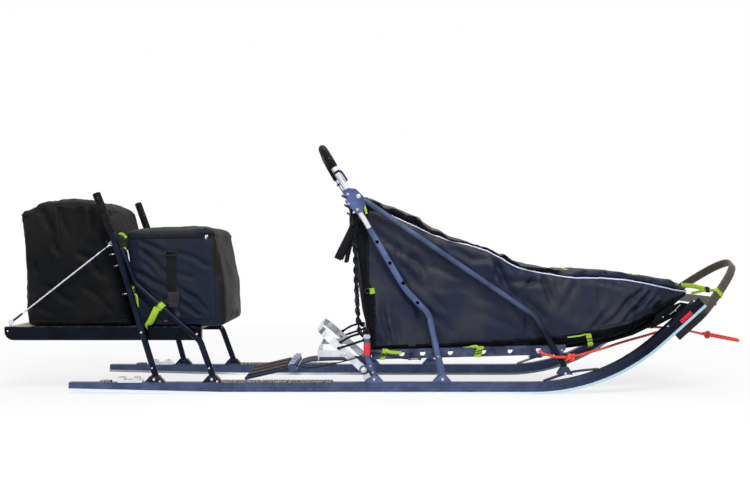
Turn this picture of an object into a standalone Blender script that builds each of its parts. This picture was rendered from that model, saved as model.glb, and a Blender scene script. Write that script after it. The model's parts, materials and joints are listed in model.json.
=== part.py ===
"""Touring dog sled with a driver's handlebar, a cargo bag and a rear seat frame.

Metres, +Z up, +X towards the brush bow, Y = 0 is the plane of symmetry.
The origin is on the ground, midway between the rear end and the bridle's loop.
Stations are distances ahead of the rear end of the seat platform.
"""
import math

import bmesh
import bpy
from mathutils import Matrix, Vector

for old_object in list(bpy.data.objects):
    bpy.data.objects.remove(old_object, do_unlink=True)

# Fits shared by the whole sled
touch_gap = 0.0003
slide_gap = 0.0004
side_play = 0.0010
overrun = 0.010
weld_distance = 0.00001

# The sled as a whole
overall_length = 3.074
track_width = 0.500
half_track = track_width / 2

# Runners: plastic base, extruded rail, pads and clamps on the tail
base_height = 0.010
base_width = 0.038
rail_top = 0.047
rail_width = 0.030
groove_low = 0.021
groove_high = 0.031
groove_depth = 0.003
tail_station = 0.270
tail_joint_station = 0.874
tail_lift = 0.0142
nose_station = 2.120
nose_radius = 0.780
nose_angle = math.radians(42)
nose_tip_length = 0.225
long_pad_front = 1.322
pad_thickness = 0.006
pad_width = 0.036
tail_pad_station = 0.394
tail_pad_length = 0.040
clamp_station = 0.466
clamp_block_length = 0.025
clamp_bar_length = 0.035
clamp_nut_length = 0.012
clamp_height = 0.020
clamp_bar_height = 0.011
clamp_width = 0.034

# Triangular feet on the rails
foot_length = 0.074
foot_top_length = 0.027
foot_height = 0.026
foot_width = 0.032
weld_depth = 0.015

# Rear seat frame
leg_radius = 0.0135
tube_sides = 16
rear_leg_foot_station = 0.610
rear_leg_foot_tuck = 0.0065
rear_leg_lean = math.radians(16.1)
rear_leg_splay = math.radians(3.13)
post_top_height = 0.795
post_length = 0.164
post_lean = 0.061
front_leg_foot_station = 0.840
front_leg_low_station = 0.790
front_leg_low_height = 0.212
front_leg_high_station = 0.530
front_leg_high_height = 0.440
front_leg_top_station = 0.472
front_leg_top_height = 0.580
front_leg_tuck = 0.008
leg_bend_radius = 0.060
post_bend_radius = 0.300
grip_wall = 0.0045
post_grip_end_wall = 0.006

# Seat platform
platform_length = 0.792
platform_top = 0.266
platform_side_height = 0.054
platform_tuck = 0.0165
platform_side_width = 0.023
platform_end_radius = 0.036
deck_thickness = 0.012
deck_drop = 0.0003
deck_end_inset = 0.004
platform_rear_bar_station = 0.150
platform_front_bar_station = 0.620
platform_bar_length = 0.025
platform_bar_height = 0.020
seat_boss_radius = 0.009
seat_boss_station = 0.5525
seat_boss_height = 0.246
stay_radius = 0.002
stay_low_station = 0.018
stay_eye_height = 0.018
stay_drop = 0.031

# Bags on the rear seat
rear_bag_tuck = 0.0185
rear_bag_back_low = 0.080
rear_bag_back_high = 0.055
rear_bag_pocket_top = 0.735
rear_bag_lid_back = 0.118
rear_bag_top = 0.768
rear_bag_front_high = 0.392
rear_bag_front_low = 0.513
front_bag_tuck = 0.0135
front_bag_back_low = 0.521
front_bag_back_high = 0.487
front_bag_top_back = 0.655
front_bag_top_front = 0.622
front_bag_front_high = 0.838
front_bag_front_low = 0.878
front_bag_bulge = 0.018
bag_edge_radius = 0.018

# Uprights of the main sled
inner_tube_radius = 0.0125
outer_tube_radius = 0.0150
bore_radius = inner_tube_radius + slide_gap
mid_axis_station = 1.549
mid_axis_height = 0.523
mid_axis_angle = math.radians(59.7)
mid_top_reach = 0.162
mid_straight_reach = 0.120
mid_bore_reach = 0.100
mid_bend_station = 1.705
mid_bend_height = 0.318
mid_foot_station = 1.759
mid_bend_radius = 0.070
mid_upper_bend_radius = 0.300
handle_low_reach = 0.020
handle_top_reach = 0.541
handle_corner_radius = 0.090
grip_start_reach = 0.4425
collar_reach = 0.286
collar_length = 0.048
collar_radius = 0.0172
gusset_thickness = 0.005
strut_radius = 0.0125
strut_top_reach = 0.2728
strut_top_offset = 0.0366
strut_bend_station = 2.128
strut_bend_height = 0.312
strut_foot_station = 2.248
strut_bend_radius = 0.070
rear_upright_foot_station = 1.486
rear_upright_radius = 0.0135
rear_upright_top_station = 1.458
rear_upright_top = 0.235
rear_upright_bend_height = 0.151
rear_upright_bend_radius = 0.100

# Arched leaf under each front strut
leaf_back = 2.166
leaf_front = 2.386
leaf_thickness = 0.004
leaf_arch = 0.020
leaf_foot_length = 0.060
leaf_foot_height = 0.030
leaf_foot_top_length = 0.024

# Basket rails, bed and cross bars
basket_tuck = 0.0153
basket_rail_width = 0.022
basket_rail_back = 1.450
basket_rail_front = 2.257
basket_rail_height = 0.038
basket_rail_low = 0.134
basket_slope = 0.027
basket_hole_columns = ("station", "radius")
basket_holes = (
    (1.599, 0.0115),
    (1.683, 0.0115),
    (1.795, 0.0115),
    (1.928, 0.0115),
    (2.036, 0.0115),
    (2.148, 0.0115),
)
basket_front_cut = 0.022
bed_thickness = 0.004
bed_height_in_rail = 0.024
bed_back = 1.454
cross_bar_radius = 0.009
rear_cross_bar_station = 1.475
mid_cross_bar_station = 1.745
front_cross_bar_station = 2.215

# Cargo bag, each row a slanted cross-section that stands on the bed
bag_columns = ("low_station", "top_station", "edge", "ridge", "low_tuck", "edge_tuck")
bag_sections = (
    (1.480, 1.390, 0.742, 0.750, 0.037, 0.025),
    (1.600, 1.556, 0.742, 0.752, 0.032, 0.020),
    (1.720, 1.661, 0.692, 0.705, 0.032, 0.020),
    (1.920, 1.915, 0.587, 0.602, 0.032, 0.020),
    (2.080, 2.075, 0.525, 0.545, 0.032, 0.022),
    (2.240, 2.240, 0.480, 0.500, 0.037, 0.027),
    (2.420, 2.420, 0.462, 0.484, 0.050, 0.038),
    (2.534, 2.534, 0.454, 0.480, 0.069, 0.053),
    (2.618, 2.618, 0.444, 0.472, 0.089, 0.067),
    (2.687, 2.687, 0.426, 0.458, 0.119, 0.093),
    (2.750, 2.750, 0.410, 0.440, 0.155, 0.130),
    (2.812, 2.812, 0.404, 0.416, 0.205, 0.185),
)
bed_nose_points = (
    (2.270, 0.1806),
    (2.435, 0.203),
    (2.534, 0.232),
    (2.618, 0.272),
    (2.687, 0.312),
    (2.752, 0.345),
)

# Brush bow, in the plane of the runner tips
bow_strip_width = 0.042
bow_thickness = 0.012
bow_start = 0.050
bow_straight_end = 0.200
bow_front = 0.5055
bow_steps = 10
bow_cross_start = 0.270
bow_cross_thickness = 0.010

# Brake
pivot_station = 1.445
pivot_height = 0.093
pivot_radius = 0.007
pivot_head_radius = 0.012
pivot_head_thickness = 0.002
pivot_plate_thickness = 0.0037
pivot_plate_radius = 0.018
pivot_plate_nose = 0.006
pivot_boss_radius = 0.006
brake_angle = math.radians(42.4)
brake_arm_length = 0.245
brake_arm_stub = 0.030
brake_corner_radius = 0.090
brake_bar_width = 0.030
brake_bar_thickness = 0.005
claw_front = 1.372
claw_back = 1.2605
claw_height = 0.157
claw_bar_width = 0.026
claw_bar_thickness = 0.005
claw_corner_radius = 0.012
tooth_count = 10
tooth_depth = 0.022
tooth_width = 0.018
tooth_thickness = 0.004
tooth_root = 0.004

# Drag mat
tongue_half_width = 0.075
tongue_thickness = 0.006
tongue_eye_wall = 0.006
tongue_points = ((1.344, 0.1115), (1.227, 0.1060))
mat_hinge_station = 1.172
mat_hinge_height = 0.0925
mat_clamp_length = 0.030
mat_clamp_half_width = 0.165
mat_clamp_upper_height = 0.012
mat_clamp_lower_height = 0.008
mat_back = 0.955
mat_back_height = 0.044
mat_thickness = 0.010
mat_half_width = 0.155
mat_rib_height = 0.007
mat_rib_width = 0.062
mat_rib_places = (-0.104, 0.0, 0.104)

# Bridle
rope_radius = 0.004
bridle_out_reach = 0.086
bridle_pass_back = 0.040
bridle_pass_front = 0.006
bridle_past_strut = 0.0030
bridle_columns = ("station", "height")
bridle_rows = (
    (2.275, 0.148),
    (2.410, 0.174),
    (2.512, 0.198),
    (2.609, 0.217),
    (2.700, 0.234),
    (2.800, 0.234),
    (2.860, 0.226),
)
bridle_strut_height = 0.150
bridle_knot_station = 2.934
bridle_knot_height = 0.211
bridle_knot_radius = 0.011
bridle_loop_height = 0.186
bridle_loop_half_width = 0.010

# Widths that follow from the track
platform_half_width = half_track - platform_tuck
basket_half_width = half_track - basket_tuck
rear_leg_foot_y = half_track - rear_leg_foot_tuck
front_leg_top_y = half_track - front_leg_tuck
rear_bag_half_width = platform_half_width - rear_bag_tuck
front_bag_half_width = platform_half_width - front_bag_tuck
stay_low_y = platform_half_width - platform_side_width / 2
plate_outer = half_track - foot_width / 2 - touch_gap
plate_inner = plate_outer - pivot_plate_thickness
brake_half_width = plate_inner - side_play

# Places that follow from others
foot_top = rail_top + touch_gap + foot_height
tube_floor = foot_top - weld_depth
rear_leg_knee_height = post_top_height - post_length
rear_leg_knee_station = rear_leg_foot_station - (rear_leg_knee_height - foot_top) * math.tan(rear_leg_lean)
post_top_station = rear_leg_knee_station - post_lean
stay_top_height = rear_leg_knee_height - stay_drop

SIDES = (("near", -1), ("far", 1))


def station(distance):
    """X of a point that lies this far ahead of the rear end."""
    return distance - overall_length / 2


parts = bpy.data.collections.new("dog_sled")
cutters = bpy.data.collections.new("cutters")
for collection in (parts, cutters):
    bpy.context.scene.collection.children.link(collection)


def finish(name, colour, roughness, metallic):
    """A plain Principled material."""
    material = bpy.data.materials.new(name)
    material.use_nodes = True
    shader = material.node_tree.nodes["Principled BSDF"]
    shader.inputs["Base Color"].default_value = (*colour, 1)
    shader.inputs["Roughness"].default_value = roughness
    shader.inputs["Metallic"].default_value = metallic
    return material


DARK_RAIL = finish("dark anodised rail", (0.035, 0.045, 0.075), 0.40, 0.85)
BLUE_TUBE = finish("blue grey anodised tube", (0.10, 0.13, 0.22), 0.38, 0.85)
SILVER = finish("bare aluminium", (0.62, 0.62, 0.64), 0.32, 1.0)
BASE_PLASTIC = finish("pale runner plastic", (0.55, 0.72, 0.88), 0.45, 0.0)
BLACK_PLASTIC = finish("black plastic", (0.02, 0.02, 0.024), 0.50, 0.0)
BOW_PLASTIC = finish("brown grey plastic", (0.075, 0.068, 0.06), 0.55, 0.0)
BLACK_FABRIC = finish("black bag fabric", (0.018, 0.019, 0.024), 0.80, 0.0)
PAD_RUBBER = finish("granular pad", (0.09, 0.07, 0.055), 0.95, 0.0)
MAT_RUBBER = finish("mat rubber", (0.06, 0.05, 0.045), 0.85, 0.0)
FOAM = finish("black foam", (0.02, 0.02, 0.022), 0.90, 0.0)
WOOD = finish("deck wood", (0.55, 0.44, 0.22), 0.60, 0.0)
RED_ROPE = finish("red rope", (0.75, 0.05, 0.03), 0.80, 0.0)


def add(name, mesh, material=None, home=parts):
    """Link a mesh as an object, with its material."""
    obj = bpy.data.objects.new(name, mesh)
    home.objects.link(obj)
    if material:
        obj.data.materials.clear()
        obj.data.materials.append(material)
    if home is cutters:
        obj.hide_render = True
        obj.display_type = "WIRE"
    return obj


def solid(curve_object):
    """Turn a curve into a welded mesh that faces outwards, and remove the curve."""
    bpy.context.view_layer.update()
    graph = bpy.context.evaluated_depsgraph_get()
    mesh = bpy.data.meshes.new_from_object(curve_object.evaluated_get(graph))
    mesh.transform(curve_object.matrix_world)
    shape = bmesh.new()
    shape.from_mesh(mesh)
    bmesh.ops.remove_doubles(shape, verts=shape.verts, dist=weld_distance)
    bmesh.ops.recalc_face_normals(shape, faces=shape.faces)
    shape.to_mesh(mesh)
    shape.free()
    bpy.data.objects.remove(curve_object, do_unlink=True)
    return mesh


def outline_mesh(loops, thickness, placement):
    """Mesh of flat closed loops of (u, v) points, extruded evenly to both sides."""
    curve = bpy.data.curves.new("outline", "CURVE")
    curve.dimensions = "2D"
    curve.fill_mode = "BOTH"
    curve.extrude = thickness / 2
    for loop in loops:
        spline = curve.splines.new("POLY")
        spline.points.add(len(loop) - 1)
        for point, (u, v) in zip(spline.points, loop):
            point.co = (u, v, 0, 1)
        spline.use_cyclic_u = True
    holder = bpy.data.objects.new("outline", curve)
    parts.objects.link(holder)
    holder.matrix_world = placement
    return solid(holder)


def side_plate(name, loops, y_a, y_b, material=None, home=parts):
    """A plate whose outline is seen from the side, between two values of Y."""
    upright = Matrix.Rotation(math.pi / 2, 4, "X")
    placement = Matrix.Translation((0, (y_a + y_b) / 2, 0)) @ upright
    return add(name, outline_mesh(loops, abs(y_b - y_a), placement), material, home)


def box(name, low, high, material=None, home=parts):
    """A rectangular block between two corners."""
    mesh = bpy.data.meshes.new(name)
    shape = bmesh.new()
    bmesh.ops.create_cube(shape, size=1)
    middle = [(a + b) / 2 for a, b in zip(low, high)]
    spans = [b - a for a, b in zip(low, high)]
    shape.transform(Matrix.Translation(middle) @ Matrix.Diagonal((*spans, 1)))
    shape.to_mesh(mesh)
    shape.free()
    return add(name, mesh, material, home)


def rod(name, start, end, radius, material=None, home=parts, sides=tube_sides):
    """A straight round bar between two points."""
    start, end = Vector(start), Vector(end)
    along = end - start
    mesh = bpy.data.meshes.new(name)
    shape = bmesh.new()
    bmesh.ops.create_cone(shape, cap_ends=True, segments=sides, radius1=radius, radius2=radius,
                          depth=along.length)
    turn = Vector((0, 0, 1)).rotation_difference(along).to_matrix().to_4x4()
    shape.transform(Matrix.Translation((start + end) / 2) @ turn)
    shape.to_mesh(mesh)
    shape.free()
    return add(name, mesh, material, home)


def bent(points, radii, steps=6):
    """A path through points whose inner corners are rounded by the given radii."""
    points = [Vector(point) for point in points]
    path = [points[0]]
    for index, radius in enumerate(radii, start=1):
        before = (points[index - 1] - points[index]).normalized()
        after = (points[index + 1] - points[index]).normalized()
        half_angle = before.angle(after) / 2
        reach = radius / math.tan(half_angle)
        centre = points[index] + (before + after).normalized() * radius / math.sin(half_angle)
        start = points[index] + before * reach - centre
        end = points[index] + after * reach - centre
        sweep = start.angle(end)
        for step in range(steps + 1):
            share = step / steps
            mix = (start * math.sin((1 - share) * sweep) + end * math.sin(share * sweep)) / math.sin(sweep)
            path.append(centre + mix)
    path.append(points[-1])
    return path


def tube_mesh(path, radius, sides=tube_sides):
    """Mesh of a round bar along a path."""
    curve = bpy.data.curves.new("path", "CURVE")
    curve.dimensions = "3D"
    curve.bevel_depth = radius
    curve.bevel_resolution = (sides - 4) // 2
    curve.use_fill_caps = True
    spline = curve.splines.new("POLY")
    spline.points.add(len(path) - 1)
    for point, place in zip(spline.points, path):
        point.co = (*place, 1)
    holder = bpy.data.objects.new("path", curve)
    parts.objects.link(holder)
    return solid(holder)


def tube(name, path, radius, material=None, home=parts, sides=tube_sides, floor=None):
    """A round bar along a path, sawn off level with the floor given."""
    mesh = tube_mesh(path, radius, sides)
    if floor is not None:
        shape = bmesh.new()
        shape.from_mesh(mesh)
        everything = shape.verts[:] + shape.edges[:] + shape.faces[:]
        bmesh.ops.bisect_plane(shape, geom=everything, plane_co=(0, 0, floor), plane_no=(0, 0, 1),
                               clear_inner=True)
        rim = [edge for edge in shape.edges if edge.is_boundary]
        bmesh.ops.holes_fill(shape, edges=rim, sides=0)
        bmesh.ops.recalc_face_normals(shape, faces=shape.faces)
        shape.to_mesh(mesh)
        shape.free()
    return add(name, mesh, material, home)


def combine(obj, tool, operation):
    """Cut or join a solid with another, exactly."""
    modifier = obj.modifiers.new(operation.lower(), "BOOLEAN")
    modifier.operation = operation
    modifier.object = tool
    modifier.solver = "EXACT"
    return obj


def soften(obj, width, segments=2):
    """Round every sharp edge of a solid."""
    modifier = obj.modifiers.new("soft edges", "BEVEL")
    modifier.width = width
    modifier.segments = segments
    modifier.limit_method = "ANGLE"
    return obj


def circle(u, v, radius, count=20):
    """Points of a round hole or boss in an outline."""
    turns = [2 * math.pi * step / count for step in range(count)]
    return [(u + radius * math.cos(turn), v + radius * math.sin(turn)) for turn in turns]


def band(path, thickness):
    """Outline of a strip of even thickness along a flat path."""
    path = [Vector(point) for point in path]
    left = []
    right = []
    for index, point in enumerate(path):
        before = path[max(index - 1, 0)]
        after = path[min(index + 1, len(path) - 1)]
        along = (after - before).normalized()
        across = Vector((-along.y, along.x)) * thickness / 2
        left.append(tuple(point + across))
        right.append(tuple(point - across))
    return left + right[::-1]


def hang(obj, pivot):
    """Parent a piece to the empty on its joint, where it stands."""
    bpy.context.view_layer.update()
    obj.parent = pivot
    obj.matrix_parent_inverse = pivot.matrix_world.inverted()


def joint_empty(name, place):
    """An empty on a joint's axis."""
    empty = bpy.data.objects.new(name, None)
    parts.objects.link(empty)
    empty.location = place
    return empty


brake_pivot = joint_empty("brake_pivot", (station(pivot_station), 0, pivot_height))
mat_hinge = joint_empty("mat_hinge", (station(mat_hinge_station), 0, mat_hinge_height))
handlebar_slide = joint_empty("handlebar_slide", (station(mid_axis_station), 0, mid_axis_height))


# Runners

def nose_line(height, tip_length=nose_tip_length, steps=14):
    """The runner's rising front at a height above its underside."""
    radius = nose_radius - height
    line = []
    for step in range(steps + 1):
        angle = nose_angle * step / steps
        line.append((station(nose_station) + radius * math.sin(angle), nose_radius - radius * math.cos(angle)))
    end_x, end_z = line[-1]
    line.append((end_x + tip_length * math.cos(nose_angle), end_z + tip_length * math.sin(nose_angle)))
    return line


def runner_strip(low, high, tail_low, tail_high):
    """Outline between two heights, from the tail to the nose tip."""
    under = [(station(tail_station), tail_low), (station(tail_joint_station), low)] + nose_line(low)
    over = [(station(tail_station), tail_high), (station(tail_joint_station), high)] + nose_line(high)
    return under + over[::-1]


def make_runner(side, sign):
    middle = sign * half_track
    base_top = base_height
    side_plate("runner_base_" + side, [runner_strip(0, base_top, tail_lift, tail_lift + base_height)],
               middle - base_width / 2, middle + base_width / 2, BASE_PLASTIC)
    rail_low = base_top + touch_gap
    rail = side_plate("runner_rail_" + side,
                      [runner_strip(rail_low, rail_top, tail_lift + base_height + touch_gap, rail_top)],
                      middle - rail_width / 2, middle + rail_width / 2, DARK_RAIL)
    for face in (-1, 1):
        edge = middle + face * rail_width / 2
        groove = nose_line(groove_low, nose_tip_length + overrun)
        groove_top = nose_line(groove_high, nose_tip_length + overrun)
        outline = [(station(tail_joint_station), groove_low)] + groove + groove_top[::-1]
        outline.append((station(tail_joint_station), groove_high))
        cutter = side_plate("groove_cutter", [outline], edge - face * groove_depth, edge + face * overrun,
                            home=cutters)
        combine(rail, cutter, "DIFFERENCE")


def make_tail_fittings(side, sign):
    middle = sign * half_track
    pad_low = rail_top + touch_gap
    long_pad_back = front_leg_foot_station + foot_length / 2 + touch_gap
    for name, back, front in (
        ("foot_pad_", long_pad_back, long_pad_front),
        ("tail_pad_", tail_pad_station, tail_pad_station + tail_pad_length),
    ):
        box(name + side, (station(back), middle - pad_width / 2, pad_low),
            (station(front), middle + pad_width / 2, pad_low + pad_thickness), PAD_RUBBER)
    x = station(clamp_station)
    low = pad_low
    high = low + clamp_height
    waist = low + clamp_bar_height
    steps_x = (x, x + clamp_block_length, x + clamp_block_length + clamp_bar_length,
               x + 2 * clamp_block_length + clamp_bar_length)
    nut_end = steps_x[3] + clamp_nut_length
    outline = [(steps_x[0], low), (nut_end, low), (nut_end, waist), (steps_x[3], waist),
               (steps_x[3], high), (steps_x[2], high), (steps_x[2], waist), (steps_x[1], waist),
               (steps_x[1], high), (steps_x[0], high)]
    side_plate("tail_clamp_" + side, [outline], middle - clamp_width / 2, middle + clamp_width / 2, SILVER)


def add_foot(upright, place, middle):
    """Weld a triangular foot, which stands on the rail, to the lower end of an upright."""
    low = rail_top + touch_gap
    outline = [(place - foot_length / 2, low), (place + foot_length / 2, low),
               (place + foot_top_length / 2, low + foot_height), (place - foot_top_length / 2, low + foot_height)]
    foot = side_plate("foot", [outline], middle - foot_width / 2, middle + foot_width / 2, home=cutters)
    combine(upright, foot, "UNION")


# Rear seat

def rear_leg_y(height):
    """How far out the straight rear leg is at a height."""
    return rear_leg_foot_y + (height - foot_top) * math.tan(rear_leg_splay)


def rear_leg_path(sign):
    """Foot, knee and top of the leg that runs up into the post."""
    start = rear_leg_foot_station + (foot_top - rail_top) * math.tan(rear_leg_lean)
    return [
        (station(start), sign * rear_leg_y(rail_top), rail_top),
        (station(rear_leg_knee_station), sign * rear_leg_y(rear_leg_knee_height), rear_leg_knee_height),
        (station(post_top_station), sign * rear_leg_y(post_top_height), post_top_height),
    ]


def front_leg_y(height):
    """How far out the bent front leg is at a height."""
    rise = (height - foot_top) / (front_leg_top_height - foot_top)
    return half_track + (front_leg_top_y - half_track) * rise


def make_rear_legs(side, sign):
    path = rear_leg_path(sign)
    leg = tube("rear_leg_" + side, bent(path, [post_bend_radius]), leg_radius, BLUE_TUBE, floor=tube_floor)
    add_foot(leg, station(rear_leg_foot_station), sign * half_track)
    knee = Vector(path[1])
    top = Vector(path[2])
    along = (top - knee).normalized()
    grip_end = top + along * (post_grip_end_wall + touch_gap)
    grip = rod("post_grip_" + side, knee + along * leg_radius, grip_end, leg_radius + touch_gap + grip_wall, FOAM)
    bore = rod("post_bore", knee, top + along * touch_gap, leg_radius + touch_gap, home=cutters)
    combine(grip, bore, "DIFFERENCE")
    run = (front_leg_foot_station - front_leg_low_station) / (front_leg_low_height - foot_top)
    start_station = front_leg_foot_station + run * (foot_top - rail_top)
    heights = (rail_top, front_leg_low_height, front_leg_high_height, front_leg_top_height)
    stations = (start_station, front_leg_low_station, front_leg_high_station, front_leg_top_station)
    points = [(station(s), sign * front_leg_y(z), z) for s, z in zip(stations, heights)]
    leg = tube("front_leg_" + side, bent(points, [leg_bend_radius, leg_bend_radius]), leg_radius, BLUE_TUBE,
               floor=tube_floor)
    add_foot(leg, station(front_leg_foot_station), sign * half_track)


def make_platform():
    low = platform_top - platform_side_height
    inner = platform_half_width - platform_side_width
    for side, sign in SIDES:
        corner = []
        for step in range(7):
            turn = math.pi + math.pi / 2 * step / 6
            corner.append((station(platform_end_radius) + platform_end_radius * math.cos(turn),
                           low + platform_end_radius + platform_end_radius * math.sin(turn)))
        outline = [(station(0), platform_top)] + corner
        outline += [(station(platform_length), low), (station(platform_length), platform_top)]
        beam = side_plate("platform_side_" + side, [outline], sign * inner, sign * platform_half_width, BLUE_TUBE)
        boss_end = rear_leg_y(seat_boss_height) - leg_radius - touch_gap
        boss = rod("seat_boss", (station(seat_boss_station), sign * (platform_half_width - platform_side_width / 2),
                                 seat_boss_height),
                   (station(seat_boss_station), sign * boss_end, seat_boss_height), seat_boss_radius, home=cutters)
        combine(beam, boss, "UNION")
    deck_half = inner - touch_gap
    deck_high = platform_top - deck_drop
    deck_low = deck_high - deck_thickness
    box("platform_deck", (station(deck_end_inset), -deck_half, deck_low),
        (station(platform_length - deck_end_inset), deck_half, deck_high), WOOD)
    bar_high = deck_low - touch_gap
    for name, place in (("rear", platform_rear_bar_station), ("front", platform_front_bar_station)):
        box("platform_bar_" + name, (station(place), -deck_half, bar_high - platform_bar_height),
            (station(place + platform_bar_length), deck_half, bar_high), DARK_RAIL)


def make_stay(side, sign):
    leg_station = rear_leg_foot_station - (stay_top_height - foot_top) * math.tan(rear_leg_lean)
    clear = (leg_radius + stay_radius + touch_gap) / math.cos(rear_leg_lean)
    low = platform_top + touch_gap
    points = [
        (station(stay_low_station), sign * stay_low_y, low),
        (station(stay_low_station), sign * stay_low_y, low + stay_eye_height),
        (station(leg_station - clear), sign * rear_leg_y(stay_top_height), stay_top_height),
    ]
    tube("seat_stay_" + side, bent(points, [stay_eye_height / 2], 4), stay_radius, SILVER, sides=8)


def make_rear_bags():
    low = platform_top + touch_gap
    rear = [(rear_bag_back_low, low), (rear_bag_front_low, low), (rear_bag_front_high, rear_bag_top),
            (rear_bag_lid_back, rear_bag_top), (rear_bag_back_high, rear_bag_pocket_top)]
    outline = [(station(s), z) for s, z in rear]
    bag = side_plate("rear_bag", [outline], -rear_bag_half_width, rear_bag_half_width, BLACK_FABRIC)
    soften(bag, bag_edge_radius)
    middle_height = (low + front_bag_top_front) / 2
    middle_front = (front_bag_front_low + front_bag_front_high) / 2 + front_bag_bulge
    front = [(front_bag_back_low, low), (front_bag_front_low, low), (middle_front, middle_height),
             (front_bag_front_high, front_bag_top_front), (front_bag_back_high, front_bag_top_back)]
    outline = [(station(s), z) for s, z in front]
    bag = side_plate("front_bag", [outline], -front_bag_half_width, front_bag_half_width, BLACK_FABRIC)
    soften(bag, bag_edge_radius)


# Uprights

axis_up = Vector((-math.cos(mid_axis_angle), 0, math.sin(mid_axis_angle)))
axis_ahead = Vector((math.sin(mid_axis_angle), 0, math.cos(mid_axis_angle)))


def on_axis(reach, y=0, offset=0):
    """A point on the handlebar leg's axis, this far up from its datum and this far ahead of it."""
    datum = Vector((station(mid_axis_station), y, mid_axis_height))
    return datum + axis_up * reach + axis_ahead * offset


def make_mid_upright(side, sign):
    y = sign * half_track
    run = (mid_foot_station - mid_bend_station) / (mid_bend_height - foot_top)
    start = mid_foot_station + run * (foot_top - rail_top)
    points = [
        (station(start), y, rail_top),
        (station(mid_bend_station), y, mid_bend_height),
        on_axis(-mid_straight_reach, y),
        on_axis(mid_top_reach, y),
    ]
    upright = tube("mid_upright_" + side, bent(points, [mid_bend_radius, mid_upper_bend_radius]),
                   outer_tube_radius, BLUE_TUBE, floor=tube_floor)
    bore = rod("upright_bore", on_axis(-mid_bore_reach, y), on_axis(mid_top_reach + overrun, y), bore_radius,
               home=cutters)
    combine(upright, bore, "DIFFERENCE")
    add_foot(upright, station(mid_foot_station), y)


def handle_path():
    """The bow from one leg's lower end, over the top, to the other's."""
    corners = [on_axis(-handle_low_reach, -half_track), on_axis(handle_top_reach, -half_track),
               on_axis(handle_top_reach, half_track), on_axis(-handle_low_reach, half_track)]
    return bent(corners, [handle_corner_radius, handle_corner_radius], 8)


def make_handlebar():
    bow = tube("handlebar_bow", handle_path(), inner_tube_radius, SILVER)
    hang(bow, handlebar_slide)
    corners = [on_axis(grip_start_reach, -half_track), on_axis(handle_top_reach, -half_track),
               on_axis(handle_top_reach, half_track), on_axis(grip_start_reach, half_track)]
    grip_path = bent(corners, [handle_corner_radius, handle_corner_radius], 8)
    grip = tube("handlebar_grip", grip_path, inner_tube_radius + touch_gap + grip_wall, FOAM)
    bore = tube("grip_bore", handle_path(), inner_tube_radius + touch_gap, home=cutters)
    combine(grip, bore, "DIFFERENCE")
    hang(grip, handlebar_slide)


gusset_columns = ("reach", "offset")
gusset_outline = (
    (0.3432, -0.0184),
    (0.3409, 0.0093),
    (0.3228, 0.0323),
    (0.3009, 0.0380),
    (0.2790, 0.0438),
    (0.2532, 0.0345),
    (0.2318, 0.0115),
    (0.2329, -0.0121),
    (0.2428, -0.0191),
    (0.2889, -0.0246),
    (0.3217, -0.0193),
)


def make_gusset(side, sign):
    y = sign * half_track
    inner = half_track + inner_tube_radius + side_play / 2
    outline = []
    for row in gusset_outline:
        corner = dict(zip(gusset_columns, row))
        point = on_axis(corner["reach"], 0, corner["offset"])
        outline.append((point.x, point.z))
    plate = side_plate("gusset_" + side, [outline], sign * inner, sign * (inner + gusset_thickness), BLUE_TUBE)
    low = on_axis(collar_reach - collar_length / 2, y)
    high = on_axis(collar_reach + collar_length / 2, y)
    combine(plate, rod("collar", low, high, collar_radius, home=cutters), "UNION")
    bore = rod("collar_bore", on_axis(collar_reach - collar_length, y), on_axis(collar_reach + collar_length, y),
               bore_radius, home=cutters)
    combine(plate, bore, "DIFFERENCE")


def rail_top_at(distance):
    """Height of the runner's upper edge on its rising front."""
    radius = nose_radius - rail_top
    run = max(distance - nose_station, 0)
    return nose_radius - math.sqrt(radius ** 2 - run ** 2)


def make_strut(side, sign):
    y = sign * half_track
    leaf_path = []
    steps = 12
    for step in range(steps + 1):
        share = step / steps
        place = leaf_back + (leaf_front - leaf_back) * share
        lift = leaf_arch * math.sin(math.pi * share)
        leaf_path.append((station(place), rail_top_at(place) + leaf_thickness / 2 + 2 * touch_gap + lift))
    leaf = side_plate("front_leaf_" + side, [band(leaf_path, leaf_thickness)], y - foot_width / 2, y + foot_width / 2,
                      DARK_RAIL)
    share = (strut_foot_station - leaf_back) / (leaf_front - leaf_back)
    seat = rail_top_at(strut_foot_station) + leaf_arch * math.sin(math.pi * share) + leaf_thickness / 2
    place = station(strut_foot_station)
    head = seat + leaf_foot_height
    outline = [(place - leaf_foot_length / 2, seat), (place + leaf_foot_length / 2, seat),
               (place + leaf_foot_top_length / 2, head), (place - leaf_foot_top_length / 2, head)]
    foot = side_plate("leaf_foot", [outline], y - foot_width / 2, y + foot_width / 2, home=cutters)
    combine(leaf, foot, "UNION")
    floor = head + touch_gap
    run = (strut_foot_station - strut_bend_station) / (strut_bend_height - head)
    points = [
        (station(strut_foot_station + run * leaf_foot_height), y, head - leaf_foot_height),
        (station(strut_bend_station), y, strut_bend_height),
        on_axis(strut_top_reach, y, strut_top_offset),
    ]
    tube("front_strut_" + side, bent(points, [strut_bend_radius]), strut_radius, BLUE_TUBE, floor=floor)


def make_rear_upright(side, sign):
    y = sign * half_track
    points = [
        (station(rear_upright_foot_station), y, rail_top),
        (station(rear_upright_top_station), y, rear_upright_bend_height),
        (station(rear_upright_top_station), y, rear_upright_top),
    ]
    upright = tube("rear_upright_" + side, bent(points, [rear_upright_bend_radius]), rear_upright_radius,
                   BLUE_TUBE, floor=tube_floor)
    add_foot(upright, station(rear_upright_foot_station), y)


# Basket

def basket_rise(distance):
    """How much the basket has climbed at a station."""
    return basket_slope * (distance - basket_rail_back)


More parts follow.
